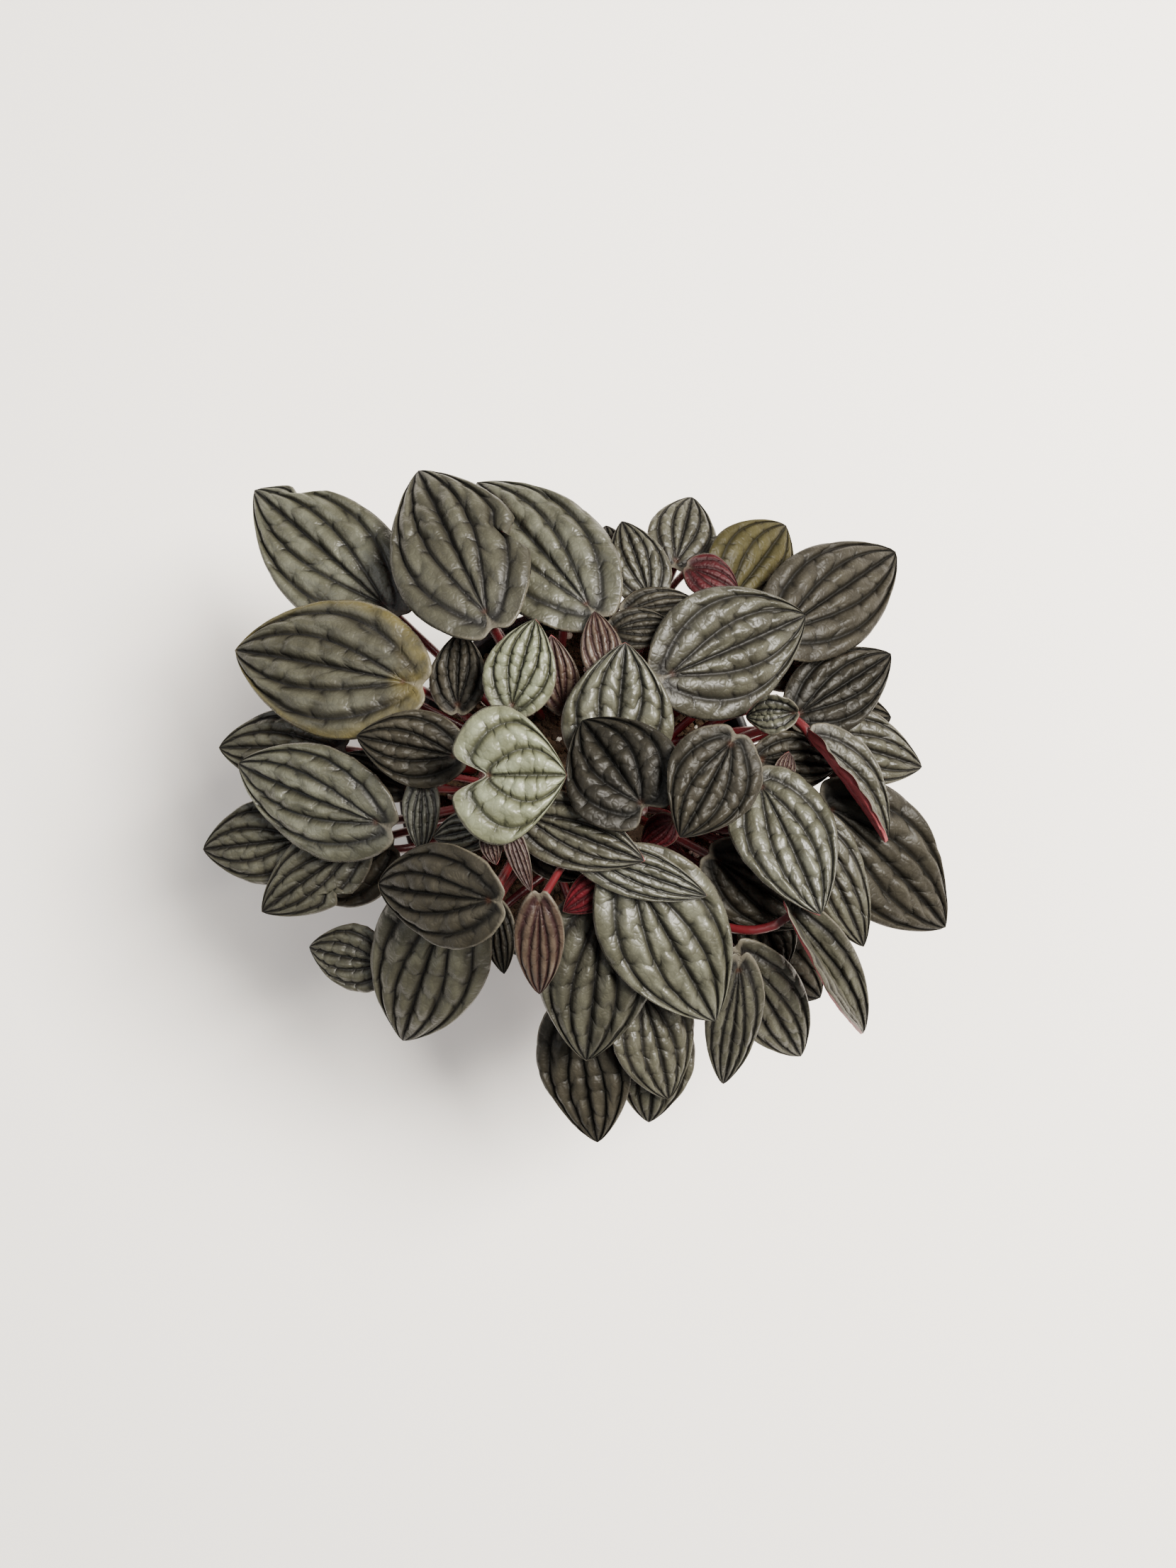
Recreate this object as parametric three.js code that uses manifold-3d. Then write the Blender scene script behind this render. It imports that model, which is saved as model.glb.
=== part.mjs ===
// A potted peperomia: a dense mound of quilted, silver-green, heart-shaped leaves on red
// stalks, in a plain round nursery pot. Millimetres, +Z up, origin at the middle of the
// pot's flat base. Seen from above, +X is right and +Y is up.
import * as THREE from 'three';
import { mergeVertices } from 'three/addons/utils/BufferGeometryUtils.js';
import Module from 'manifold-3d';

const wasm = await Module();
wasm.setup();

// Pot
const potHeight = 93;
const potTopRadius = 52.5;
const potBaseRadius = 38;
const potWall = 1.5;
const potFloor = 2;
const collarHeight = 13;
const collarStep = 2.2;
const potSides = 30;
const drainCount = 6;
const drainRadius = 3.6;
const drainCircle = 25;

// Soil
const soilTop = 84;
const soilGap = 0.3;
const soilRelief = 0.9;
const soilRings = [0.3, 0.62, 0.88];
const holeGap = 0.4;
const rootDepth = 8;

// The mound: leaf height over the soil at the middle, and its drop at domeRadius
const domeHeight = 50;
const domeDrop = 36;
const domeRadius = 85;
const sideLean = 0.5;
const outLean = 0.4;

// Plan readings are taken at planeHeight by an eye straight above, eyeHeight over that plane
const planeHeight = 140;
const eyeHeight = 345;

// The blade's outline, in parts of its length and half width: the back lobes, the notch between
// them, the place and fullness of its widest part, and how the veins sweep back to the margin
const bladeThickness = 0.8;
const leafAspect = 0.9;
const backLobe = 0.17;
const notchDepth = 0.06;
const notchSpan = 0.08;
const outlineSkew = 1.42;
const outlineFullness = 0.8;
const veinSweep = 1.6;

// The blade's relief: puffed bands between the main veins, a shallow fold, an arch and a droop
const bandWidth = 0.38;
const bandRise = 0.12;
const midFold = 0.12;
const sideArch = 0.17;
const tipDroop = 0.14;

// How leaves are stacked: in cells of stackCell over stackReach each way, stackGap apart, each
// tipped by one of the angles in tiltSteps each way at a cost in lift
const stackCell = 2;
const stackReach = 130;
const stackGap = 1.6;
const settleRounds = 3;
const tiltSteps = [0, -7, 7, -14, 14, -21, 21];
const tiltCost = 0.12;
const longestLeaf = 54;
const stretchCost = 1.2;

// Stalks. A young leaf, narrower than youngWidth, has a thinner one.
const stalkRadius = 1.15;
const youngWidth = 14;
const youngThinness = 0.8;
const stalkSides = 4;
const stalkSteps = 4;
const rootPull = 0.46;
const rootReach = 33;
const rootApart = 5.2;
const rootRounds = 60;
const stalkToBlade = 2.3;
const stalkToStalk = 2.9;
const rimClear = 2.2;
const rimZone = [-6, 4];
const soilClear = 2;
const routeStep = 1.5;

// The routes that a stalk may take, the easiest first: its rise, its reach into the blade and
// its bend to one side, and what a bend or another rise costs in room
const rises = [0.55, 0.8, 0.3, 1.05];
const reaches = [0.35, 0.55, 0.2];
const bends = [0, 4, -4, 8, -8, 12, -12, 16, -16, 20, -20, 25, -25];
const lowBend = 0.6;
const bendCost = 0.004;
const riseCost = 0.03;

// Colours of the leaves by age and light, and of the other pieces
const tones = {
  silver: 0x8d9083,
  grey: 0x77776b,
  dusky: 0x5b574d,
  pale: 0xb4bba6,
  young: 0x7d6258,
  red: 0x8a2f38,
  olive: 0x6d6647,
};

// The leaves from the lowest to the topmost. at is where the stalk meets the blade and tip is
// the leaf's point, in plan; wide is the width seen from above. turns are the degrees that the
// left and the right half turn up about the midrib.
const leaves = [
  // Low leaves round the rim, under the others
  { at: [-52, 27], tip: [-72, 42], wide: 22, tone: 'dusky', drop: 12 },
  { at: [-26, 48], tip: [-37, 70], wide: 24, tone: 'dusky', drop: 12, shoot: 'shoot_skirt_1' },
  { at: [-3, 48], tip: [-14, 69], wide: 22, tone: 'dusky', drop: 12, shoot: 'shoot_skirt_1' },
  { at: [46, 32], tip: [70, 44], wide: 24, tone: 'dusky', drop: 12, shoot: 'shoot_skirt_2' },
  { at: [52, 14], tip: [80, 18], wide: 24, tone: 'dusky', drop: 13, shoot: 'shoot_skirt_2' },
  { at: [50, -12], tip: [80, -24], wide: 26, tone: 'dusky', drop: 13, shoot: 'shoot_skirt_3' },
  { at: [40, -34], tip: [62, -54], wide: 24, tone: 'dusky', drop: 13, shoot: 'shoot_skirt_3' },
  { at: [4, -50], tip: [6, -76], wide: 24, tone: 'dusky', drop: 13, shoot: 'shoot_skirt_4' },
  { at: [-30, -41], tip: [-44, -57], wide: 20, tone: 'dusky', drop: 13, shoot: 'shoot_skirt_4' },
  { at: [-50, -16], tip: [-74, -24], wide: 24, tone: 'dusky', drop: 13 },
  // The outer ring
  { at: [-71, -13], tip: [-96, -16], wide: 22, tone: 'grey' },
  { at: [-63, 10], tip: [-92, 10], wide: 21, tone: 'grey' },
  { at: [-44, 0], tip: [-61, 8], wide: 12, tone: 'dusky' },
  { at: [-50, -45], tip: [-69, -41], wide: 18, tone: 'dusky' },
  { at: [-50, 47], tip: [-83, 76], wide: 31, tone: 'silver' },
  { at: [10, 51], tip: [7, 67], wide: 14, tone: 'grey' },
  { at: [25, 58], tip: [29, 74], wide: 18, tone: 'grey', shoot: 'shoot_back' },
  { at: [18, 49], tip: [11, 68], wide: 16, tone: 'grey', shoot: 'shoot_back' },
  { at: [38, 47], tip: [53, 67], wide: 25, tone: 'olive' },
  { at: [13, 45], tip: [31, 47], wide: 11, tone: 'dusky', shoot: 'shoot_dark' },
  { at: [9, 40], tip: [25, 41], wide: 11, tone: 'dusky', shoot: 'shoot_dark' },
  { at: [61, 13], tip: [88, 5], wide: 20, tone: 'grey' },
  { at: [57, 19], tip: [80, 34], wide: 21, tone: 'dusky' },
  { at: [52, 40], tip: [81, 60], wide: 28, tone: 'grey' },
  { at: [47, 7], tip: [66, 5], wide: 16, tone: 'dusky' },
  { at: [46, -31], tip: [52, -48], wide: 16, tone: 'dusky' },
  { at: [36, -19], tip: [60, -35], wide: 22, tone: 'dusky' },
  { at: [65, -6], tip: [94, -36], wide: 31, tone: 'grey' },
  { at: [61, 11], tip: [79, -14], wide: 20, tone: 'grey', turns: [0, 122] },
  { at: [29, 56], tip: [41, 50], wide: 12, tone: 'red', shoot: 'shoot_back' },
  { at: [58, -9], tip: [73, -41], wide: 19, tone: 'grey' },
  { at: [55, -33], tip: [73, -63], wide: 18, tone: 'grey', turns: [0, 98] },
  { at: [42, -44], tip: [57, -69], wide: 20, tone: 'grey' },
  { at: [20, -60], tip: [18, -86], wide: 21, tone: 'grey' },
  { at: [0, -58], tip: [5, -91], wide: 24, tone: 'grey' },
  { at: [16, -52], tip: [23, -80], wide: 22, tone: 'grey' },
  { at: [41, -47], tip: [37, -76], wide: 15, tone: 'grey' },
  { at: [-21, -31], tip: [-19, -48], wide: 9, tone: 'dusky' },
  { at: [-33, -29], tip: [-45, -65], wide: 31, tone: 'grey' },
  { at: [-12, -15], tip: [4, -23], wide: 12, tone: 'dusky', shoot: 'shoot_heart' },
  // The middle tier
  { at: [-31, 21], tip: [-30, 40], wide: 15, tone: 'dusky' },
  { at: [-57, -15], tip: [-81, -32], wide: 20, tone: 'grey' },
  { at: [-52, -9], tip: [-87, 6], wide: 28, tone: 'silver' },
  { at: [-45, 27], tip: [-88, 35], wide: 36, tone: 'grey' },
  { at: [2, 47], tip: [-26, 78], wide: 32, tone: 'silver' },
  { at: [-24, 45], tip: [-41, 81], wide: 35, tone: 'grey' },
  { at: [-4, 21], tip: [-7, 39], wide: 11, tone: 'young', shoot: 'shoot_young' },
  { at: [7, 29], tip: [4, 45], wide: 11, tone: 'young', shoot: 'shoot_young' },
  { at: [24, 29], tip: [58, 44], wide: 33, tone: 'silver' },
  { at: [55, 19], tip: [43, 18], wide: 15, tone: 'grey', shoot: 'shoot_curled', turns: [40, 55] },
  { at: [52, 2], tip: [54, 9], wide: 6, tone: 'young', shoot: 'shoot_curled' },
  { at: [9, 6], tip: [12, 37], wide: 29, tone: 'silver' },
  { at: [47, 0], tip: [62, -33], wide: 27, tone: 'silver' },
  { at: [6, -31], tip: [2, -70], wide: 31, tone: 'silver' },
  { at: [9, -23], tip: [-4, -32], wide: 11, tone: 'red', shoot: 'shoot_heart' },
  { at: [24, -9], tip: [16, -15], wide: 9, tone: 'red', shoot: 'shoot_heart' },
  { at: [14, -22], tip: [35, -60], wide: 33, tone: 'silver' },
  { at: [2, -17], tip: [33, -28], wide: 14, tone: 'silver' },
  { at: [-14, -7], tip: [17, -19], wide: 19, tone: 'grey' },
  // The top
  { at: [-40, 1], tip: [-40, -17], wide: 10, tone: 'silver', shoot: 'shoot_left' },
  { at: [-23, -10], tip: [-37, -13], wide: 11, tone: 'silver', shoot: 'shoot_left' },
  { at: [-23, -12], tip: [-21, -20], wide: 6, tone: 'young', shoot: 'shoot_left' },
  { at: [-18, -10], tip: [-12, -27], wide: 6, tone: 'young', shoot: 'shoot_left' },
  { at: [-32, 8], tip: [-57, 13], wide: 20, tone: 'dusky' },
  { at: [-17, 21], tip: [-11, 43], wide: 19, tone: 'pale' },
  { at: [-10, -30], tip: [-10, -53], wide: 13, tone: 'young' },
  { at: [-23, -29], tip: [-51, -25], wide: 27, tone: 'dusky' },
  { at: [16, -4], tip: [1, 17], wide: 30, tone: 'dusky', fold: 0.3, back: 0.26, notch: 0.2, span: 0.12 },
  { at: [39, 11], tip: [26, -13], wide: 25, tone: 'grey' },
  { at: [-23, 3], tip: [-3, 3], wide: 36, tone: 'pale', back: 0.55, notch: 0.5, span: 0.17, pitch: -42 },
];

const mix = (a, b, f) => a + (b - a) * f;
const radians = (degrees) => (degrees * Math.PI) / 180;
const scaled = (v, f) => v.map((c) => c * f);
const plus = (...vs) => [0, 1, 2].map((i) => vs.reduce((sum, v) => sum + v[i], 0));
const minus = (a, b) => [a[0] - b[0], a[1] - b[1], a[2] - b[2]];
const dot = (a, b) => a[0] * b[0] + a[1] * b[1] + a[2] * b[2];
const cross = (a, b) => [
  a[1] * b[2] - a[2] * b[1],
  a[2] * b[0] - a[0] * b[2],
  a[0] * b[1] - a[1] * b[0],
];
const unit = (v) => scaled(v, 1 / Math.hypot(...v));

// How much nearer the axis a point stands than where the eye sees it on the reading plane
const spread = (z) => 1 - (z - planeHeight) / eyeHeight;

// Where a leaf lies when it is raised by lift and tipped by nod and rock, in degrees, from the
// slope of the mound: its attachment, its directions, and its true length and half width
function place(leaf, lift, nod, rock) {
  const [bx, by] = leaf.at;
  const [tx, ty] = leaf.tip;
  const midX = (bx + tx) / 2;
  const midY = (by + ty) / 2;
  const midR = Math.hypot(midX, midY);
  const fall = (2 * domeDrop * midR) / domeRadius ** 2;
  const span = Math.hypot(tx - bx, ty - by);
  const heading = Math.atan2(ty - by, tx - bx);
  const bearing = Math.atan2(midY, midX);
  const level = soilTop + domeHeight - domeDrop * (midR / domeRadius) ** 2 - (leaf.drop ?? 0) + lift;
  const shortened = Math.acos(Math.min(1, (leafAspect * span) / leaf.wide));
  const outward = Math.atan(outLean * fall * Math.cos(bearing - heading));
  const pitch = Math.max(shortened, outward) + radians((leaf.pitch ?? 0) + nod);
  const roll = Math.atan(sideLean * fall * Math.sin(bearing - heading)) + radians(rock);
  const halfRise = (span * spread(level) * Math.tan(pitch)) / 2;
  const baseZ = level + halfRise;
  const tipZ = level - halfRise;
  const base = [bx * spread(baseZ), by * spread(baseZ), baseZ];
  const tip = [tx * spread(tipZ), ty * spread(tipZ), tipZ];
  const chord = unit(minus(tip, base));
  const flat = unit([-chord[1], chord[0], 0]);
  const over = cross(chord, flat);
  const bend = Math.atan(tipDroop);
  const chordUp = plus(scaled(over, Math.cos(roll)), scaled(flat, Math.sin(roll)));
  return {
    leaf,
    base,
    along: plus(scaled(chord, Math.cos(bend)), scaled(chordUp, Math.sin(bend))),
    across: plus(scaled(flat, Math.cos(roll)), scaled(over, -Math.sin(roll))),
    up: plus(scaled(chordUp, Math.cos(bend)), scaled(chord, -Math.sin(bend))),
    length: Math.hypot(...minus(tip, base)) * Math.cos(bend),
    half: (leaf.wide * spread(level)) / 2 / Math.cos(roll),
  };
}

// A point of the blade's middle surface: s runs from the stalk to the tip along the veins,
// and t from the right margin, -1, to the left one
function bladePoint(pose, s, t) {
  const { leaf, length, half } = pose;
  const back = leaf.back ?? backLobe;
  const notch = (leaf.notch ?? notchDepth) * Math.exp(-((s / (leaf.span ?? notchSpan)) ** 2));
  const side = Math.abs(t);
  const edgeX = length * (-back + (1 + back) * (1 - Math.cos((Math.PI * s) / 2)) + notch);
  const edgeY = half * Math.max(0, Math.sin(Math.PI * s ** outlineSkew)) ** outlineFullness;
  const x = mix(s * length, edgeX, side ** veinSweep);
  const out = edgeY * side;
  const bands = bandRise * edgeY * Math.abs(Math.sin((Math.PI * side) / bandWidth));
  const folded = (leaf.fold ?? midFold) * out;
  const arched = (sideArch * out * out) / half;
  const rise = bands + folded - arched;
  const turn = radians((leaf.turns ?? [0, 0])[t > 0 ? 0 : 1]);
  const y = Math.sign(t) * (out * Math.cos(turn) - rise * Math.sin(turn));
  const drooped = (tipDroop * x * Math.abs(x)) / length;
  const z = out * Math.sin(turn) + rise * Math.cos(turn) - drooped;
  return plus(pose.base, scaled(pose.along, x), scaled(pose.across, y), scaled(pose.up, z));
}

// Points spread over a blade, close enough together to test its neighbours against
function bladeSamples(pose, rows, columns) {
  const samples = [];
  for (let i = 0; i <= rows; i += 1) {
    for (let j = 0; j <= columns; j += 1) {
      samples.push(bladePoint(pose, i / rows, (2 * j) / columns - 1));
    }
  }
  return samples;
}

// Stack the leaves: each settles just clear of all the leaves listed before it, and tips a
// little where that lets it lie lower
function stackLeaves() {
  const side = Math.ceil((2 * stackReach) / stackCell);
  const tops = new Float64Array(side * side).fill(-Infinity);
  const cell = (v) => Math.floor((v + stackReach) / stackCell);
  for (let x = -potTopRadius; x <= potTopRadius; x += stackCell) {
    for (let y = -potTopRadius; y <= potTopRadius; y += stackCell) {
      if (Math.hypot(x, y) <= potTopRadius) tops[cell(x) * side + cell(y)] = potHeight;
    }
  }
  const highestNear = (x, y) => {
    let highest = -Infinity;
    for (let i = cell(x) - 1; i <= cell(x) + 1; i += 1) {
      for (let j = cell(y) - 1; j <= cell(y) + 1; j += 1) {
        highest = Math.max(highest, tops[i * side + j]);
      }
    }
    return highest;
  };
  return leaves.map((leaf) => {
    let best = null;
    for (const nod of tiltSteps) {
      for (const rock of tiltSteps) {
        let lift = 0;
        for (let round = 0; round < settleRounds; round += 1) {
          const need = Math.max(...bladeSamples(place(leaf, lift, nod, rock), 14, 16)
            .map(([x, y, z]) => highestNear(x, y) + stackGap - z));
          lift = Math.max(0, lift + need);
        }
        const stretch = Math.max(0, place(leaf, lift, nod, rock).length - longestLeaf);
        const cost = lift + tiltCost * (Math.abs(nod) + Math.abs(rock)) + stretchCost * stretch;
        if (!best || cost < best.cost) best = { cost, lift, nod, rock };
      }
    }
    const pose = place(leaf, best.lift, best.nod, best.rock);
    bladeSamples(pose, 24, 24).forEach(([x, y, z]) => {
      const k = cell(x) * side + cell(y);
      tops[k] = Math.max(tops[k], z);
    });
    return pose;
  });
}

// Where the stalks come out of the soil: under the attachments, drawn in towards the middle and
// then pushed apart. The leaves of one shoot share a root.
function rootPlaces(poses) {
  const shared = new Map();
  poses.forEach((pose, i) => {
    const key = pose.leaf.shoot ?? `leaf ${i}`;
    if (!shared.has(key)) shared.set(key, { x: 0, y: 0, count: 0 });
    const root = shared.get(key);
    root.x += pose.base[0] * rootPull;
    root.y += pose.base[1] * rootPull;
    root.count += 1;
  });
  const roots = [...shared.values()];
  roots.forEach((root) => {
    root.x /= root.count;
    root.y /= root.count;
  });
  for (let round = 0; round < rootRounds; round += 1) {
    for (let i = 0; i < roots.length; i += 1) {
      for (let j = i + 1; j < roots.length; j += 1) {
        const dx = roots[j].x - roots[i].x;
        const dy = roots[j].y - roots[i].y;
        const gap = Math.hypot(dx, dy);
        const push = Math.max(0, rootApart - gap) / 2 / gap;
        roots[i].x -= dx * push;
        roots[i].y -= dy * push;
        roots[j].x += dx * push;
        roots[j].y += dy * push;
      }
    }
    roots.forEach((root) => {
      const over = Math.max(1, Math.hypot(root.x, root.y) / rootReach);
      root.x /= over;
      root.y /= over;
    });
  }
  return poses.map((pose, i) => shared.get(pose.leaf.shoot ?? `leaf ${i}`));
}

const bezier = ([a, b, c, d], f) => plus(
  scaled(a, (1 - f) ** 3),
  scaled(b, 3 * f * (1 - f) ** 2),
  scaled(c, 3 * f * f * (1 - f)),
  scaled(d, f ** 3),
);

// A bucket grid of points that a stalk must keep clear of
class Obstacles {
  constructor(cellSize) {
    this.cellSize = cellSize;
    this.cells = new Map();
  }

  key(i, j, k) {
    return `${i},${j},${k}`;
  }

  add(point, clear, owner) {
    const [i, j, k] = point.map((c) => Math.floor(c / this.cellSize));
    const key = this.key(i, j, k);
    if (!this.cells.has(key)) this.cells.set(key, []);
    this.cells.get(key).push({ point, clear, owner });
  }

  // The least room left round a point, below 0 where something is too near
  room(point, owner) {
    const [i, j, k] = point.map((c) => Math.floor(c / this.cellSize));
    let least = this.cellSize;
    for (let a = i - 1; a <= i + 1; a += 1) {
      for (let b = j - 1; b <= j + 1; b += 1) {
        for (let c = k - 1; c <= k + 1; c += 1) {
          for (const found of this.cells.get(this.key(a, b, c)) ?? []) {
            if (found.owner === owner) continue;
            least = Math.min(least, Math.hypot(...minus(found.point, point)) - found.clear);
          }
        }
      }
    }
    return least;
  }
}

// The curve of each stalk, from its root to its blade, by the least bend that keeps clear of
// the blades, the rim and the stalks before it
function stalkRoutes(poses, roots) {
  const obstacles = new Obstacles(4);
  const ownerOf = (i) => poses[i].leaf.shoot ?? i;
  poses.forEach((pose, i) => {
    bladeSamples(pose, 26, 24).forEach((point) => obstacles.add(point, stalkToBlade, ownerOf(i)));
  });
  roots.forEach((root, i) => {
    for (let z = soilTop - rootDepth; z < soilTop + 6; z += 2) {
      obstacles.add([root.x, root.y, z], stalkToStalk, ownerOf(i));
    }
  });
  const order = poses.map((_, i) => i).reverse();
  const routes = [];
  order.forEach((i) => {
    const pose = poses[i];
    const start = [roots[i].x, roots[i].y, soilTop + 3];
    const end = pose.base;
    const away = minus(end, start);
    const distance = Math.hypot(...away);
    const sideways = unit([-away[1], away[0], 0]);
    const into = unit(plus(scaled(pose.up, 0.85), scaled(pose.along, 0.4)));
    let best = null;
    for (const reach of reaches) {
      for (const rise of rises) {
        for (const bend of bends) {
          const curve = [
            start,
            plus(start, [0, 0, rise * Math.abs(away[2])], scaled(sideways, bend * lowBend)),
            plus(end, scaled(into, -reach * distance), scaled(sideways, bend)),
            end,
          ];
          let room = Infinity;
          const steps = Math.ceil(distance / routeStep);
          for (let k = 1; k < steps && room > (best?.room ?? -Infinity); k += 1) {
            const point = bezier(curve, k / steps);
            room = Math.min(room, obstacles.room(point, ownerOf(i)));
            const radius = Math.hypot(point[0], point[1]);
            if (radius > potTopRadius + rimZone[0] && radius < potTopRadius + rimZone[1]) {
              room = Math.min(room, point[2] - potHeight - rimClear);
            }
            room = Math.min(room, point[2] - soilTop - soilClear);
          }
          room = Math.min(room, 0) - bendCost * Math.abs(bend) - riseCost * Math.abs(rise - rises[0]);
          if (!best || room > best.room) best = { curve, room };
        }
      }
    }
    routes[i] = best;
    const steps = Math.ceil(distance / routeStep);
    for (let k = 0; k < steps; k += 1) {
      obstacles.add(bezier(best.curve, k / steps), stalkToStalk, ownerOf(i));
    }
  });
  return routes;
}

// A solid from its vertices and triangles, turned outwards if it is inside out
function solidFrom(vertices, triangles) {
  const build = (tris) => new wasm.Manifold(new wasm.Mesh({
    numProp: 3,
    vertProperties: new Float32Array(vertices.flat()),
    triVerts: new Uint32Array(tris.flat()),
  }));
  const solid = build(triangles);
  if (solid.volume() > 0) return solid;
  return build(triangles.map(([a, b, c]) => [a, c, b]));
}

// The vertices and triangles of a closed three.js geometry that stands along its own Y axis
function upright(geometry) {
  geometry.deleteAttribute('normal');
  geometry.deleteAttribute('uv');
  geometry.rotateX(Math.PI / 2);
  const merged = mergeVertices(geometry, 1e-4);
  const positions = merged.getAttribute('position');
  const vertices = [];
  for (let i = 0; i < positions.count; i += 1) {
    vertices.push([positions.getX(i), positions.getY(i), positions.getZ(i)]);
  }
  const triangles = [];
  const index = merged.getIndex().array;
  for (let i = 0; i < index.length; i += 3) {
    const [a, b, c] = [index[i], index[i + 1], index[i + 2]];
    if (a !== b && b !== c && c !== a) triangles.push([a, b, c]);
  }
  return { vertices, triangles };
}

function geometryOf(solid) {
  const mesh = solid.getMesh();
  const geometry = new THREE.BufferGeometry();
  geometry.setAttribute('position', new THREE.BufferAttribute(new Float32Array(mesh.vertProperties), 3));
  geometry.setIndex(new THREE.BufferAttribute(new Uint32Array(mesh.triVerts), 1));
  return geometry;
}

// A blade as a closed sheet: its middle surface moved half the thickness each way along the
// normals, with both faces split into the same triangles
function bladeSolid(pose) {
  const plain = pose.leaf.wide < youngWidth || pose.leaf.drop;
  const rows = plain ? [0, 0.24, 0.5, 0.78, 1] : [0, 0.2, 0.42, 0.65, 0.86, 1];
  const sides = plain ? [0.3, 1] : [0.5, 1, 1.5].map((band) => band * bandWidth).concat(1);
  const columns = [...sides.map((t) => -t).reverse(), 0, ...sides];
  const middle = sides.length;
  const last = rows.length - 1;
  const points = [];
  const grid = rows.map((s, i) => columns.map((t, j) => {
    if (i === 0 && j > middle) return null;
    if (i === last && j > 0) return null;
    points.push(bladePoint(pose, s, i === last ? 0 : t));
    return points.length - 1;
  }));
  columns.forEach((_, j) => {
    if (j > middle) grid[0][j] = grid[0][2 * middle - j];
    grid[last][j] = grid[last][0];
  });
  const faces = [];
  const face = (...corners) => {
    if (new Set(corners).size === 3) faces.push(corners);
  };
  for (let i = 0; i < last; i += 1) {
    for (let j = 0; j < columns.length - 1; j += 1) {
      const [a, b, c, d] = [grid[i][j], grid[i + 1][j], grid[i + 1][j + 1], grid[i][j + 1]];
      if ((i > 0) === (j < middle)) {
        face(a, b, c);
        face(a, c, d);
      } else {
        face(a, b, d);
        face(b, c, d);
      }
    }
  }
  const normals = points.map(() => [0, 0, 0]);
  faces.forEach(([a, b, c]) => {
    const normal = cross(minus(points[b], points[a]), minus(points[c], points[a]));
    [a, b, c].forEach((k) => {
      normals[k] = plus(normals[k], normal);
    });
  });
  const moved = (way) => points.map((p, k) => plus(p, scaled(unit(normals[k]), way * bladeThickness / 2)));
  const count = points.length;
  const used = new Map();
  faces.forEach(([a, b, c]) => {
    [[a, b], [b, c], [c, a]].forEach(([p, q]) => used.set(`${p},${q}`, [p, q]));
  });
  const rim = [...used.values()].filter(([p, q]) => !used.has(`${q},${p}`));
  const triangles = [
    ...faces,
    ...faces.map(([a, b, c]) => [a + count, c + count, b + count]),
    ...rim.flatMap(([p, q]) => [[q, p, p + count], [q, p + count, q + count]]),
  ];
  return solidFrom([...moved(1), ...moved(-1)], triangles);
}

// A stalk as a slim tube whose last ring lies in the blade
function stalkSolid(pose, root, curve) {
  const radius = stalkRadius * (pose.leaf.wide < youngWidth ? youngThinness : 1);
  const spine = [[root.x, root.y, soilTop - rootDepth]];
  for (let k = 0; k <= stalkSteps; k += 1) spine.push(bezier(curve, k / stalkSteps));
  let side = [1, 0, 0];
  const vertices = [];
  spine.forEach((point, k) => {
    const next = spine[Math.min(k + 1, spine.length - 1)];
    const before = spine[Math.max(k - 1, 0)];
    const way = k < 2 ? [0, 0, 1] : unit(minus(next, before));
    side = unit(minus(side, scaled(way, dot(side, way))));
    const other = cross(way, side);
    for (let n = 0; n < stalkSides; n += 1) {
      const turn = (2 * Math.PI * n) / stalkSides;
      let corner = plus(
        point,
        scaled(side, radius * Math.cos(turn)),
        scaled(other, radius * Math.sin(turn)),
      );
      if (k === spine.length - 1) {
        const above = dot(minus(corner, point), pose.up);
        corner = minus(corner, scaled(pose.up, above));
      }
      vertices.push(corner);
    }
  });
  const triangles = [];
  for (let k = 0; k < spine.length - 1; k += 1) {
    for (let n = 0; n < stalkSides; n += 1) {
      const m = (n + 1) % stalkSides;
      const [a, b] = [k * stalkSides + n, k * stalkSides + m];
      triangles.push([a, b, b + stalkSides], [a, b + stalkSides, a + stalkSides]);
    }
  }
  const end = (spine.length - 1) * stalkSides;
  for (let n = 1; n < stalkSides - 1; n += 1) {
    triangles.push([0, n + 1, n], [end, end + n, end + n + 1]);
  }
  return solidFrom(vertices, triangles);
}

const poses = stackLeaves();
const roots = rootPlaces(poses);
const routes = stalkRoutes(poses, roots);

const plant = new THREE.Group();

function addPiece(name, solid, colour, roughness) {
  const material = new THREE.MeshStandardMaterial({ color: colour, roughness, metalness: 0 });
  const mesh = new THREE.Mesh(geometryOf(solid), material);
  mesh.name = name;
  plant.add(mesh);
}

// Each leaf is its blade and stalk in one; the leaves of a shoot are one piece
function addLeaves() {
  const pieces = new Map();
  let count = 0;
  poses.forEach((pose, i) => {
    const solid = bladeSolid(pose).add(stalkSolid(pose, roots[i], routes[i].curve));
    if (!pose.leaf.shoot) count += 1;
    const name = pose.leaf.shoot ?? `leaf_${String(count).padStart(2, '0')}`;
    const found = pieces.get(name);
    if (found) found.solid = found.solid.add(solid);
    else pieces.set(name, { solid, tone: pose.leaf.tone });
  });
  pieces.forEach(({ solid, tone }, name) => addPiece(name, solid, tones[tone], 0.45));
}

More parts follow.
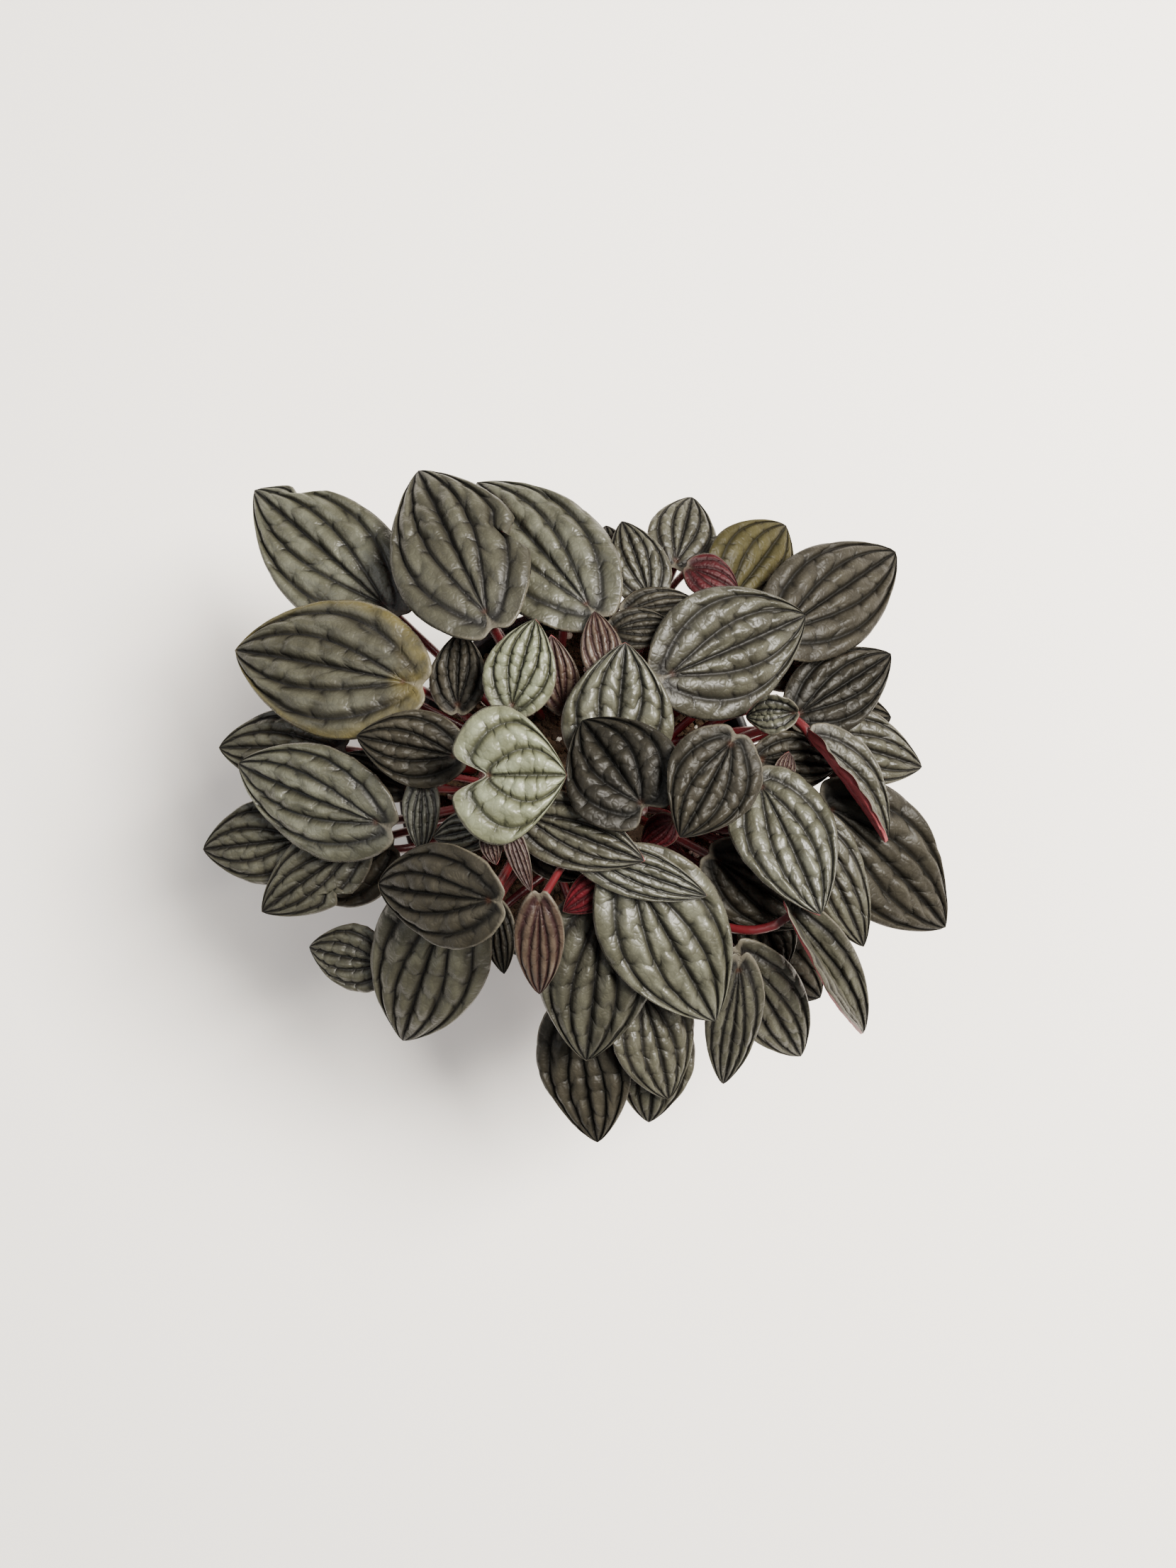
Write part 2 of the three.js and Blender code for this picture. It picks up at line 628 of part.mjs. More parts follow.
// The pot: a tapered shell with a collar, a rolled lip and drain holes in a flat floor
function addPot() {
  const collarRadius = potTopRadius - collarStep;
  const shoulder = potHeight - collarHeight;
  const lip = 1.4;
  const profile = [
    [0, 0],
    [potBaseRadius, 0],
    [collarRadius - 1, shoulder],
    [potTopRadius - 1, shoulder + 1.5],
    [potTopRadius, potHeight - lip],
    [potTopRadius - 0.5, potHeight],
    [potTopRadius - potWall - 0.5, potHeight],
    [potTopRadius - potWall - 1, potHeight - lip],
    [potTopRadius - potWall - 1.6, shoulder + 3],
    [collarRadius - 1 - potWall, shoulder - 1],
    [potBaseRadius + 0.3 - potWall, potFloor],
    [0, potFloor],
  ].map(([r, z]) => new THREE.Vector2(r, z));
  const shell = upright(new THREE.LatheGeometry(profile, potSides));
  let solid = solidFrom(shell.vertices, shell.triangles);
  for (let k = 0; k < drainCount; k += 1) {
    const turn = (2 * Math.PI * k) / drainCount;
    const bore = new THREE.CylinderGeometry(drainRadius, drainRadius, 4 * potFloor, 12);
    const drain = upright(bore);
    const at = [drainCircle * Math.cos(turn), drainCircle * Math.sin(turn), 0];
    solid = solid.subtract(solidFrom(drain.vertices.map((v) => plus(v, at)), drain.triangles));
  }
  addPiece('pot', solid, 0x1d1d1f, 0.55);
  return (z) => potBaseRadius + 0.3 - potWall
    + ((z - potFloor) * (collarRadius - 1.3 - potBaseRadius)) / (shoulder - 1 - potFloor);
}

// The soil fills the pot, with a low uneven top and a plain hole round each stalk
function addSoil(wallAt) {
  const bottom = potFloor + soilGap;
  const shoulder = potHeight - collarHeight - 1;
  const topRadius = wallAt(shoulder) - soilGap;
  const profile = [
    [0, bottom],
    [wallAt(bottom) - soilGap, bottom],
    [topRadius, shoulder],
    [topRadius, soilTop],
    ...soilRings.toReversed().map((f) => [topRadius * f, soilTop]),
    [0, soilTop],
  ].map(([r, z]) => new THREE.Vector2(r, z));
  const body = upright(new THREE.LatheGeometry(profile, 24));
  const relief = (x, y) => soilRelief * (Math.sin(x * 0.31 + 1) * Math.cos(y * 0.27) + 0.4 * Math.sin(x * 0.9 - y * 0.7));
  body.vertices.forEach((v) => {
    if (v[2] > soilTop - 0.01 && Math.hypot(v[0], v[1]) < topRadius - 1) v[2] += relief(v[0], v[1]);
  });
  let solid = solidFrom(body.vertices, body.triangles);
  new Set(roots).forEach((root) => {
    const depth = rootDepth + 0.4;
    const hole = new THREE.CylinderGeometry(1, 1, depth * 2, stalkSides).rotateY(Math.PI / 2);
    const { vertices, triangles } = upright(hole);
    const wide = stalkRadius + holeGap;
    const moved = vertices.map(([x, y, z]) => [
      root.x + x * wide,
      root.y + y * wide,
      soilTop + z,
    ]);
    solid = solid.subtract(solidFrom(moved, triangles));
  });
  addPiece('soil', solid, 0x2c231b, 0.95);
}

addSoil(addPot());
addLeaves();

export default plant;
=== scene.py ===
"""A potted peperomia: a dense mound of quilted, silver-green, heart-shaped leaves on red stalks,
in a plain round nursery pot. Metres and +Z up; the plant's own sizes are in millimetres."""

import math
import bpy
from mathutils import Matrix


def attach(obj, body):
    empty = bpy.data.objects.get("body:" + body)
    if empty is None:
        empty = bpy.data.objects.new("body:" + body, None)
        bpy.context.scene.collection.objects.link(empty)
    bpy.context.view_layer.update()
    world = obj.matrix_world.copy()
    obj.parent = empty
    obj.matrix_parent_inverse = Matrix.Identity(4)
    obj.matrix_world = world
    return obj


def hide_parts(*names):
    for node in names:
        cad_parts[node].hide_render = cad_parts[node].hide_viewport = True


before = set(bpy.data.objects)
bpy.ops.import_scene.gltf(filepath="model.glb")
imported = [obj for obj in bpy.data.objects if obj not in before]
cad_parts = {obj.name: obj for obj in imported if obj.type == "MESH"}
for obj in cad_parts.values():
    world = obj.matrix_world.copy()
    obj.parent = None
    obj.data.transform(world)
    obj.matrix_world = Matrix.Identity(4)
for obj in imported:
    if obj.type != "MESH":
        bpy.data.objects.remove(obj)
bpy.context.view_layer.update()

from types import SimpleNamespace

import bpy
import numpy as np
from mathutils import Matrix, Vector, noise
from mathutils.kdtree import KDTree

bl_info = {
    "name": "Potted Peperomia",
    "version": (1, 0, 0),
    "blender": (4, 5, 0),
    "location": "View3D > Sidebar > Peperomia",
    "description": "Dresses a potted peperomia's solids with quilted leaves, stalks, soil and pot",
    "category": "Object",
}

MM = 0.001

# Pot and soil, in millimetres. The taper takes NECK_TAPER off the body's radius from the rim down
# to the collar's foot, and adds FLOOR_TAPER to it from the base up to the floor.
POT_HEIGHT = 93
POT_TOP_RADIUS = 52.5
POT_BASE_RADIUS = 38
COLLAR_HEIGHT = 13
COLLAR_STEP = 2.2
NECK_TAPER = 1
FLOOR_TAPER = 0.3
POT_WALL = 1.5
POT_FLOOR = 2
SOIL_TOP = 84
SOIL_GAP = 0.3
ROOT_DEPTH = 8

# The mound: leaf height over the soil at the middle, and its drop at DOME_RADIUS
DOME_HEIGHT = 50
DOME_DROP = 36
DOME_RADIUS = 85
SIDE_LEAN = 0.5
OUT_LEAN = 0.4

# Plan readings are taken at PLANE_HEIGHT by an eye straight above, EYE_HEIGHT over that plane
PLANE_HEIGHT = 140
EYE_HEIGHT = 345

# The blades' outline and bands, and how they are stacked. The grids are the rows and columns of
# points that stand for a blade while it settles, once it lies, and for the stalks' routes.
BLADE_THICKNESS = 0.8
LEAF_ASPECT = 0.9
BAND_WIDTH = 0.38
BAND_RISE = 0.12
BACK = 0.17
NOTCH = 0.06
NOTCH_SPAN = 0.08
FOLD = 0.12
ARCH = 0.17
DROOP = 0.14
OUTLINE_SKEW = 1.42
OUTLINE_FULLNESS = 0.8
VEIN_SWEEP = 1.6
STACK_CELL = 2
STACK_REACH = 130
STACK_GAP = 1.6
SETTLE_ROUNDS = 3
SETTLE_GRID = (14, 16)
STACK_GRID = (24, 24)
ROUTE_GRID = (26, 24)
TILT_STEPS = (0, -7, 7, -14, 14, -21, 21)
TILT_COST = 0.12
LONGEST_LEAF = 54
STRETCH_COST = 1.2

# Stalks
ROOT_PULL = 0.46
ROOT_REACH = 33
ROOT_APART = 5.2
ROOT_ROUNDS = 60
ROOT_STEP = 2
ROOT_SHOWN = 6
STALK_TO_BLADE = 2.3
STALK_TO_STALK = 2.9
RIM_CLEAR = 2.2
RIM_ZONE = (-6, 4)
SOIL_CLEAR = 2
ROUTE_FOOT = 3
ROUTE_STEP = 1.5

# The routes that a stalk may take, the easiest first: its rise, its reach into the blade and
# its bend to one side, and what a bend or another rise costs in room
RISES = (0.55, 0.8, 0.3, 1.05)
REACHES = (0.35, 0.55, 0.2)
BENDS = (0, 4, -4, 8, -8, 12, -12, 16, -16, 20, -20, 25, -25)
LOW_BEND = 0.6
BEND_COST = 0.004
RISE_COST = 0.03

# The direction in which a stalk meets its blade, along the blade's normal and to its tip
MEET_UP = 0.85
MEET_ALONG = 0.4

# A leaf narrower than SLIM_LEAF has a stalk thinner by SLIM_STALK and fewer cross veins, by
# SLIM_VEINS. Within STALK_HEAD of its end, a stalk stays STALK_SINK under its blade's middle.
SLIM_LEAF = 14
SLIM_STALK = 0.8
SLIM_VEINS = 0.75
STALK_SINK = 0.7
STALK_HEAD = 5
STALK_SPANS = 16

# The leaves from the lowest to the topmost, in millimetres and degrees. at is where the stalk
# meets the blade and tip is the leaf's point, in plan; wide is the width seen from above. Some
# leaves also have
#   shoot: the short stem that carries them, with others;
#   drop, pitch: how far they hang below the mound, and how much more they nod;
#   fold, back, notch, span: their own cup and back lobes, and the depth and width of their notch;
#   turns: how far the left and the right half turn up about the midrib;
#   sinus, shown_turns: the span and the turns of the grown leaf, where the solid has others;
#   tear: the place, width and depth of a torn margin, on the left where the depth is over 0;
#   quilt, shade, fading: the part of the usual relief, the brightness, and the yellowed margin;
#   the brightness is partly the leaf's own tone and partly painted shade, lower where a leaf
#   faces away from the light or lies in the shade of others.
LEAVES = (
    # Low leaves round the rim, under the others
    dict(at=(-52, 27), tip=(-72, 42), wide=22, tone="dusky", drop=12),
    dict(at=(-26, 48), tip=(-37, 70), wide=24, tone="dusky", drop=12, shoot="shoot_skirt_1"),
    dict(at=(-3, 48), tip=(-14, 69), wide=22, tone="dusky", drop=12, shoot="shoot_skirt_1"),
    dict(at=(46, 32), tip=(70, 44), wide=24, tone="dusky", drop=12, shoot="shoot_skirt_2"),
    dict(at=(52, 14), tip=(80, 18), wide=24, tone="dusky", drop=13, shoot="shoot_skirt_2"),
    dict(at=(50, -12), tip=(80, -24), wide=26, tone="dusky", drop=13, shoot="shoot_skirt_3"),
    dict(at=(40, -34), tip=(62, -54), wide=24, tone="dusky", drop=13, shoot="shoot_skirt_3"),
    dict(at=(4, -50), tip=(6, -76), wide=24, tone="dusky", drop=13, shoot="shoot_skirt_4"),
    dict(at=(-30, -41), tip=(-44, -57), wide=20, tone="dusky", drop=13, shoot="shoot_skirt_4"),
    dict(at=(-50, -16), tip=(-74, -24), wide=24, tone="dusky", drop=13),
    # The outer ring
    dict(at=(-71, -13), tip=(-96, -16), wide=22, tone="grey"),
    dict(at=(-63, 10), tip=(-92, 10), wide=21, tone="grey"),
    dict(at=(-44, 0), tip=(-61, 8), wide=12, tone="dusky"),
    dict(at=(-50, -45), tip=(-69, -41), wide=18, tone="grey"),
    dict(at=(-50, 47), tip=(-83, 76), wide=31, tone="silver", tear=(0.86, 0.05, -0.4)),
    dict(at=(10, 51), tip=(7, 67), wide=14, tone="grey"),
    dict(at=(25, 58), tip=(29, 74), wide=18, tone="grey", shoot="shoot_back"),
    dict(at=(18, 49), tip=(11, 68), wide=16, tone="grey", shoot="shoot_back"),
    dict(at=(38, 47), tip=(53, 67), wide=25, tone="olive", quilt=0.3),
    dict(at=(13, 45), tip=(31, 47), wide=11, tone="dusky", shoot="shoot_dark"),
    dict(at=(9, 40), tip=(25, 41), wide=11, tone="dusky", shoot="shoot_dark"),
    dict(at=(61, 13), tip=(88, 5), wide=20, tone="grey"),
    dict(at=(57, 19), tip=(80, 34), wide=21, tone="dusky", shade=0.6),
    dict(at=(52, 40), tip=(81, 60), wide=28, tone="dusky"),
    dict(at=(47, 7), tip=(66, 5), wide=16, tone="dusky"),
    dict(at=(46, -31), tip=(52, -48), wide=16, tone="dusky"),
    dict(at=(36, -19), tip=(60, -35), wide=22, tone="dusky"),
    dict(at=(65, -6), tip=(94, -36), wide=31, tone="dusky", shade=0.85),
    dict(at=(61, 11), tip=(79, -14), wide=20, tone="grey", turns=(0, 122), shown_turns=(0, 74)),
    dict(at=(29, 56), tip=(41, 50), wide=12, tone="red", shoot="shoot_back", quilt=0.2, shade=0.5),
    dict(at=(58, -9), tip=(73, -41), wide=19, tone="grey"),
    dict(at=(55, -33), tip=(73, -63), wide=18, tone="grey", turns=(0, 98), shown_turns=(0, 85)),
    dict(at=(42, -44), tip=(57, -69), wide=20, tone="grey"),
    dict(at=(20, -60), tip=(18, -86), wide=21, tone="grey"),
    dict(at=(0, -58), tip=(5, -91), wide=24, tone="dusky"),
    dict(at=(16, -52), tip=(23, -80), wide=22, tone="grey"),
    dict(at=(41, -47), tip=(37, -76), wide=15, tone="grey"),
    dict(at=(-21, -31), tip=(-19, -48), wide=9, tone="dusky"),
    dict(at=(-33, -29), tip=(-45, -65), wide=31, tone="grey"),
    dict(at=(-12, -15), tip=(4, -23), wide=12, tone="dusky", shoot="shoot_heart"),
    # The middle tier
    dict(at=(-31, 21), tip=(-30, 40), wide=15, tone="dusky"),
    dict(at=(-57, -15), tip=(-81, -32), wide=20, tone="grey", tear=(0.6, 0.05, 0.4)),
    dict(at=(-52, -9), tip=(-87, 6), wide=28, tone="silver"),
    dict(at=(-45, 27), tip=(-88, 35), wide=36, tone="grey", fading=0.7),
    dict(at=(2, 47), tip=(-26, 78), wide=32, tone="silver"),
    dict(at=(-24, 45), tip=(-41, 81), wide=35, tone="grey", shade=0.9, tear=(0.6, 0.07, -0.25)),
    dict(at=(-4, 21), tip=(-7, 39), wide=11, tone="young", shoot="shoot_young"),
    dict(at=(7, 29), tip=(4, 45), wide=11, tone="young", shoot="shoot_young"),
    dict(at=(24, 29), tip=(58, 44), wide=33, tone="grey", shade=0.8),
    dict(at=(55, 19), tip=(43, 18), wide=15, tone="silver", shoot="shoot_curled", turns=(40, 55)),
    dict(at=(52, 2), tip=(54, 9), wide=6, tone="young", shoot="shoot_curled"),
    dict(at=(9, 6), tip=(12, 37), wide=29, tone="silver"),
    dict(at=(47, 0), tip=(62, -33), wide=27, tone="silver"),
    dict(at=(6, -31), tip=(2, -70), wide=31, tone="grey", shade=0.8),
    dict(
        at=(9, -23), tip=(-4, -32), wide=11, tone="red", shoot="shoot_heart",
        quilt=0.2, shade=0.85,
    ),
    dict(
        at=(24, -9), tip=(16, -15), wide=9, tone="red", shoot="shoot_heart",
        quilt=0.2, shade=0.85,
    ),
    dict(at=(14, -22), tip=(35, -60), wide=33, tone="silver"),
    dict(at=(2, -17), tip=(33, -28), wide=14, tone="silver"),
    dict(at=(-14, -7), tip=(17, -19), wide=19, tone="grey"),
    # The top
    dict(at=(-40, 1), tip=(-40, -17), wide=10, tone="silver", shoot="shoot_left"),
    dict(at=(-23, -10), tip=(-37, -13), wide=11, tone="silver", shoot="shoot_left"),
    dict(at=(-23, -12), tip=(-21, -20), wide=6, tone="young", shoot="shoot_left"),
    dict(at=(-18, -10), tip=(-12, -27), wide=6, tone="young", shoot="shoot_left"),
    dict(at=(-32, 8), tip=(-57, 13), wide=20, tone="dusky"),
    dict(at=(-17, 21), tip=(-11, 43), wide=19, tone="pale"),
    dict(at=(-10, -30), tip=(-10, -53), wide=13, tone="young"),
    dict(at=(-23, -29), tip=(-51, -25), wide=27, tone="dusky"),
    dict(
        at=(16, -4), tip=(1, 17), wide=30, tone="dusky",
        shade=0.5, fold=0.3, back=0.26, notch=0.2, span=0.12,
    ),
    dict(at=(39, 11), tip=(26, -13), wide=25, tone="dusky", shade=0.85),
    dict(
        at=(-23, 3), tip=(-3, 3), wide=36, tone="pale",
        back=0.55, notch=0.5, span=0.17, sinus=0.1, quilt=0.7, pitch=-42,
    ),
)


def unit(v):
    """The direction of a vector, with length 1."""
    return v / np.linalg.norm(v)


def spread(z):
    """How much nearer the axis a point stands than where the eye sees it on the reading plane."""
    return 1 - (z - PLANE_HEIGHT) / EYE_HEIGHT


def place(leaf, lift, nod, rock):
    """Where a leaf lies when it is raised by lift and tipped by nod and rock from the slope of
    the mound: its attachment, its directions, and its true length and half width."""
    (bx, by), (tx, ty) = leaf["at"], leaf["tip"]
    mid_x, mid_y = (bx + tx) / 2, (by + ty) / 2
    mid_radius = math.hypot(mid_x, mid_y)
    fall = 2 * DOME_DROP * mid_radius / DOME_RADIUS**2
    span = math.hypot(tx - bx, ty - by)
    heading = math.atan2(ty - by, tx - bx)
    bearing = math.atan2(mid_y, mid_x)
    dome = DOME_HEIGHT - DOME_DROP * (mid_radius / DOME_RADIUS) ** 2
    level = SOIL_TOP + dome - leaf.get("drop", 0) + lift
    shortened = math.acos(min(1, LEAF_ASPECT * span / leaf["wide"]))
    outward = math.atan(OUT_LEAN * fall * math.cos(bearing - heading))
    pitch = max(shortened, outward) + math.radians(leaf.get("pitch", 0) + nod)
    roll = math.atan(SIDE_LEAN * fall * math.sin(bearing - heading)) + math.radians(rock)
    half_rise = span * spread(level) * math.tan(pitch) / 2
    base_z, tip_z = level + half_rise, level - half_rise
    base = np.array((bx * spread(base_z), by * spread(base_z), base_z))
    tip = np.array((tx * spread(tip_z), ty * spread(tip_z), tip_z))
    chord = unit(tip - base)
    flat = unit(np.array((-chord[1], chord[0], 0)))
    over = np.cross(chord, flat)
    bend = math.atan(DROOP)
    chord_up = over * math.cos(roll) + flat * math.sin(roll)
    return SimpleNamespace(
        leaf=leaf,
        base=base,
        along=chord * math.cos(bend) + chord_up * math.sin(bend),
        across=flat * math.cos(roll) - over * math.sin(roll),
        up=chord_up * math.cos(bend) - chord * math.sin(bend),
        length=np.linalg.norm(tip - base) * math.cos(bend),
        half=leaf["wide"] * spread(level) / 2 / math.cos(roll),
    )


def blade_points(pose, rows, columns):
    """Points spread over a blade's middle surface, as the solid model has it."""
    s, t = np.arange(rows + 1) / rows, 2 * np.arange(columns + 1) / columns - 1
    s, t = [grid.ravel() for grid in np.meshgrid(s, t, indexing="ij")]
    leaf = pose.leaf
    back = leaf.get("back", BACK)
    notch = leaf.get("notch", NOTCH) * np.exp(-((s / leaf.get("span", NOTCH_SPAN)) ** 2))
    side = np.abs(t)
    edge_x = pose.length * (-back + (1 + back) * (1 - np.cos(np.pi * s / 2)) + notch)
    edge_y = pose.half * np.maximum(0, np.sin(np.pi * s**OUTLINE_SKEW)) ** OUTLINE_FULLNESS
    x = s * pose.length + (edge_x - s * pose.length) * side**VEIN_SWEEP
    out_by = edge_y * side
    bands = BAND_RISE * edge_y * np.abs(np.sin(np.pi * side / BAND_WIDTH))
    rise = bands + leaf.get("fold", FOLD) * out_by - ARCH * out_by * out_by / pose.half
    left_turn, right_turn = leaf.get("turns", (0, 0))
    turn = np.radians(np.where(t > 0, left_turn, right_turn))
    y = np.sign(t) * (out_by * np.cos(turn) - rise * np.sin(turn))
    z = out_by * np.sin(turn) + rise * np.cos(turn) - DROOP * x * np.abs(x) / pose.length
    return pose.base + np.outer(x, pose.along) + np.outer(y, pose.across) + np.outer(z, pose.up)


def stack_leaves():
    """Stacks the leaves: each settles just clear of all the leaves listed before it, and tips a
    little where that lets it lie lower."""
    side = math.ceil(2 * STACK_REACH / STACK_CELL)
    tops = np.full((side, side), -np.inf)

    def cells(values):
        return np.floor((values + STACK_REACH) / STACK_CELL).astype(int)

    rim = np.arange(-POT_TOP_RADIUS, POT_TOP_RADIUS + 0.001, STACK_CELL)
    rim_x, rim_y = [grid.ravel() for grid in np.meshgrid(rim, rim)]
    inside = np.hypot(rim_x, rim_y) <= POT_TOP_RADIUS
    tops[cells(rim_x[inside]), cells(rim_y[inside])] = POT_HEIGHT

    poses = []
    for leaf in LEAVES:
        padded = np.pad(tops, 1, constant_values=-np.inf)
        around = [padded[i : i + side, j : j + side] for i in range(3) for j in range(3)]
        near = np.max(around, axis=0)
        best = None
        for nod in TILT_STEPS:
            for rock in TILT_STEPS:
                lift = 0
                for _ in range(SETTLE_ROUNDS):
                    points = blade_points(place(leaf, lift, nod, rock), *SETTLE_GRID)
                    under = near[cells(points[:, 0]), cells(points[:, 1])]
                    lift = max(0, lift + (under + STACK_GAP - points[:, 2]).max())
                pose = place(leaf, lift, nod, rock)
                stretch = max(0, pose.length - LONGEST_LEAF)
                cost = lift + TILT_COST * (abs(nod) + abs(rock)) + STRETCH_COST * stretch
                if best is None or cost < best[0]:
                    best = (cost, pose)
        points = blade_points(best[1], *STACK_GRID)
        np.maximum.at(tops, (cells(points[:, 0]), cells(points[:, 1])), points[:, 2])
        poses.append(best[1])
    return poses


def root_places(poses):
    """Where the stalks come out of the soil: under the attachments, drawn in towards the middle
    and then pushed apart. The leaves of one shoot share a root."""
    shared = {}
    for index, pose in enumerate(poses):
        key = pose.leaf.get("shoot", index)
        shared.setdefault(key, []).append(pose.base[:2] * ROOT_PULL)
    keys = list(shared)
    roots = [np.mean(shared[key], axis=0) for key in keys]
    for _ in range(ROOT_ROUNDS):
        for i in range(len(roots)):
            for j in range(i + 1, len(roots)):
                away = roots[j] - roots[i]
                gap = math.hypot(*away)
                if gap < ROOT_APART:
                    push = away * (ROOT_APART - gap) / 2 / gap
                    roots[i] = roots[i] - push
                    roots[j] = roots[j] + push
        roots = [root / max(1, math.hypot(*root) / ROOT_REACH) for root in roots]
    by_key = dict(zip(keys, roots))
    return [by_key[pose.leaf.get("shoot", index)] for index, pose in enumerate(poses)]


def bezier(curve, f):
    """The points of a curve with four handles, at parts f of its way."""
    a, b, c, d = curve
    f = np.asarray(f)[..., None]
    return a * (1 - f) ** 3 + b * 3 * f * (1 - f) ** 2 + c * 3 * f * f * (1 - f) + d * f**3


def stalk_routes(poses, roots):
    """The curve of each stalk, from its root to its blade, by the least bend that keeps clear of
    the blades, the rim and the stalks before it."""
    owner_of = [pose.leaf.get("shoot", index) for index, pose in enumerate(poses)]
    owners = {key: number for number, key in enumerate(dict.fromkeys(owner_of))}
    owner_of = [owners[key] for key in owner_of]
    points, clears, point_owners = [], [], []

    def keep_clear_of(found, clear, owner):
        points.extend(found)
        clears.extend([clear] * len(found))
        point_owners.extend([owner] * len(found))

    for pose, owner in zip(poses, owner_of):
        keep_clear_of(blade_points(pose, *ROUTE_GRID), STALK_TO_BLADE, owner)
    for root, owner in zip(roots, owner_of):
        heights = np.arange(SOIL_TOP - ROOT_DEPTH, SOIL_TOP + ROOT_SHOWN, ROOT_STEP)
        keep_clear_of([np.array((*root, z)) for z in heights], STALK_TO_STALK, owner)
    fixed = KDTree(len(points))
    for index, point in enumerate(points):
        fixed.insert(point, index)
    fixed.balance()
    stalks = [np.zeros((0, 3)), np.zeros(0, int)]

    def room_along(way, owner, floor):
        """The room left beside a way, as far as it matters, or less than floor."""
        room = 0.0
        radius = np.hypot(way[:, 0], way[:, 1])
        past_rim = radius - POT_TOP_RADIUS
        over_rim = (past_rim > RIM_ZONE[0]) & (past_rim < RIM_ZONE[1])
        if over_rim.any():
            room = min(room, (way[over_rim, 2] - POT_HEIGHT - RIM_CLEAR).min())
        room = min(room, (way[:, 2] - SOIL_TOP - SOIL_CLEAR).min())
        others = stalks[0][stalks[1] != owner]
        if len(others):
            gaps = np.linalg.norm(others[None] - way[:, None], axis=2)
            room = min(room, gaps.min() - STALK_TO_STALK)
        for point in way:
            if room <= floor:
                return room
            for _, index, distance in fixed.find_range(point, STALK_TO_STALK):
                if point_owners[index] != owner:
                    room = min(room, distance - clears[index])
        return room

    routes = [None] * len(poses)
    for i in reversed(range(len(poses))):
        pose, owner = poses[i], owner_of[i]
        start = np.array((*roots[i], SOIL_TOP + ROUTE_FOOT))
        away = pose.base - start
        distance = np.linalg.norm(away)
        aside = unit(np.array((-away[1], away[0], 0)))
        into = unit(pose.up * MEET_UP + pose.along * MEET_ALONG)
        steps = math.ceil(distance / ROUTE_STEP)
        best = None
        for reach in REACHES:
            for rise in RISES:
                for bend in BENDS:
                    cost = BEND_COST * abs(bend) + RISE_COST * abs(rise - RISES[0])
                    if best and -cost <= best[0]:
                        continue
                    upward = np.array((0, 0, rise * abs(away[2])))
                    lifted = start + upward + aside * bend * LOW_BEND
                    entering = pose.base - into * reach * distance + aside * bend
                    curve = (start, lifted, entering, pose.base)
                    way = bezier(curve, np.arange(1, steps) / steps)
                    room = room_along(way, owner, best[0] if best else -math.inf) - cost
                    if best is None or room > best[0]:
                        best = (room, curve)
        routes[i] = best[1]
        way = bezier(best[1], np.arange(steps) / steps)
        stalks[0] = np.concatenate((stalks[0], way))
        stalks[1] = np.concatenate((stalks[1], np.full(len(way), owner)))
    return routes


def node_names():
    """The frame's node of each leaf: its shoot's, or one of its own."""
    names = []
    single = 0
    for leaf in LEAVES:
        if "shoot" not in leaf:
            single += 1
        names.append(leaf.get("shoot", f"leaf_{single:02d}"))
    return names


class Wire:
    """A socket of a node tree, used in formulas as a number is."""

    def __init__(self, tree, socket):
        self.tree = tree
        self.socket = socket

    def maths(self, operation, *others):
        node = self.tree.nodes.new("ShaderNodeMath")
        node.operation = operation
        for socket, value in zip(node.inputs, (self, *others)):
            feed(self.tree, socket, value)
        return Wire(self.tree, node.outputs[0])

    def __add__(self, other):
        return self.maths("ADD", other)

    __radd__ = __add__

    def __mul__(self, other):
        return self.maths("MULTIPLY", other)

    __rmul__ = __mul__

    def __sub__(self, other):
        return self.maths("SUBTRACT", other)

    def __rsub__(self, other):
        return (self * -1) + other

    def __truediv__(self, other):
        return self.maths("DIVIDE", other)

    def __pow__(self, other):
        return self.maths("POWER", other)

    def __abs__(self):
        return self.maths("ABSOLUTE")

    def sin(self):
        return self.maths("SINE")

    def cos(self):
        return self.maths("COSINE")

    def floor(self):
        return self.maths("FLOOR")

    def at_least(self, other):
        return self.maths("MAXIMUM", other)

    def over(self, other):
        return self.maths("GREATER_THAN", other)

    def bell(self, width):
        """1 where the value is 0, falling to nothing a few widths away."""
        part = self / width
        return (part * part * -1).maths("EXPONENT")

    def ramp(self, low, high):
        """0 at low and 1 at high, smooth between and flat outside."""
        node = self.tree.nodes.new("ShaderNodeMapRange")
        node.interpolation_type = "SMOOTHSTEP"
        for name, value in (("Value", self), ("From Min", low), ("From Max", high)):
            feed(self.tree, node.inputs[name], value)
        return Wire(self.tree, node.outputs["Result"])

    def off_whole(self):
        """How far the value is from the nearest whole number."""
        return abs(self - (self + 0.5).floor())


def feed(tree, socket, value):
    """Links a wire to a socket, or sets a plain value on it."""
    if isinstance(value, Wire):
        tree.links.new(value.socket, socket)
    else:
        socket.default_value = value


def put(tree, kind, inputs, **settings):
    """Adds a node with its settings, feeds its inputs and returns it."""
    node = tree.nodes.new(kind)
    for name, value in settings.items():
        setattr(node, name, value)
    for name, value in inputs.items():
        feed(tree, node.inputs[name], value)
    return node


def out(node, name=0):
    """A node's output, the first where none is named."""
    return Wire(node.id_data, node.outputs[name])


def vector(x, y, z):
    """Three wires as one vector."""
    return out(put(x.tree, "ShaderNodeCombineXYZ", {"X": x, "Y": y, "Z": z}))


def parted(wire):
    """The X, Y and Z of a vector."""
    node = put(wire.tree, "ShaderNodeSeparateXYZ", {"Vector": wire})
    return [out(node, name) for name in "XYZ"]


def ripples(where, scale, seed=0.0, detail=2.0):
    """Smooth noise from 0 to 1."""
    inputs = {"Vector": where, "W": seed, "Scale": scale, "Detail": detail}
    return out(put(where.tree, "ShaderNodeTexNoise", inputs, noise_dimensions="4D"), "Fac")


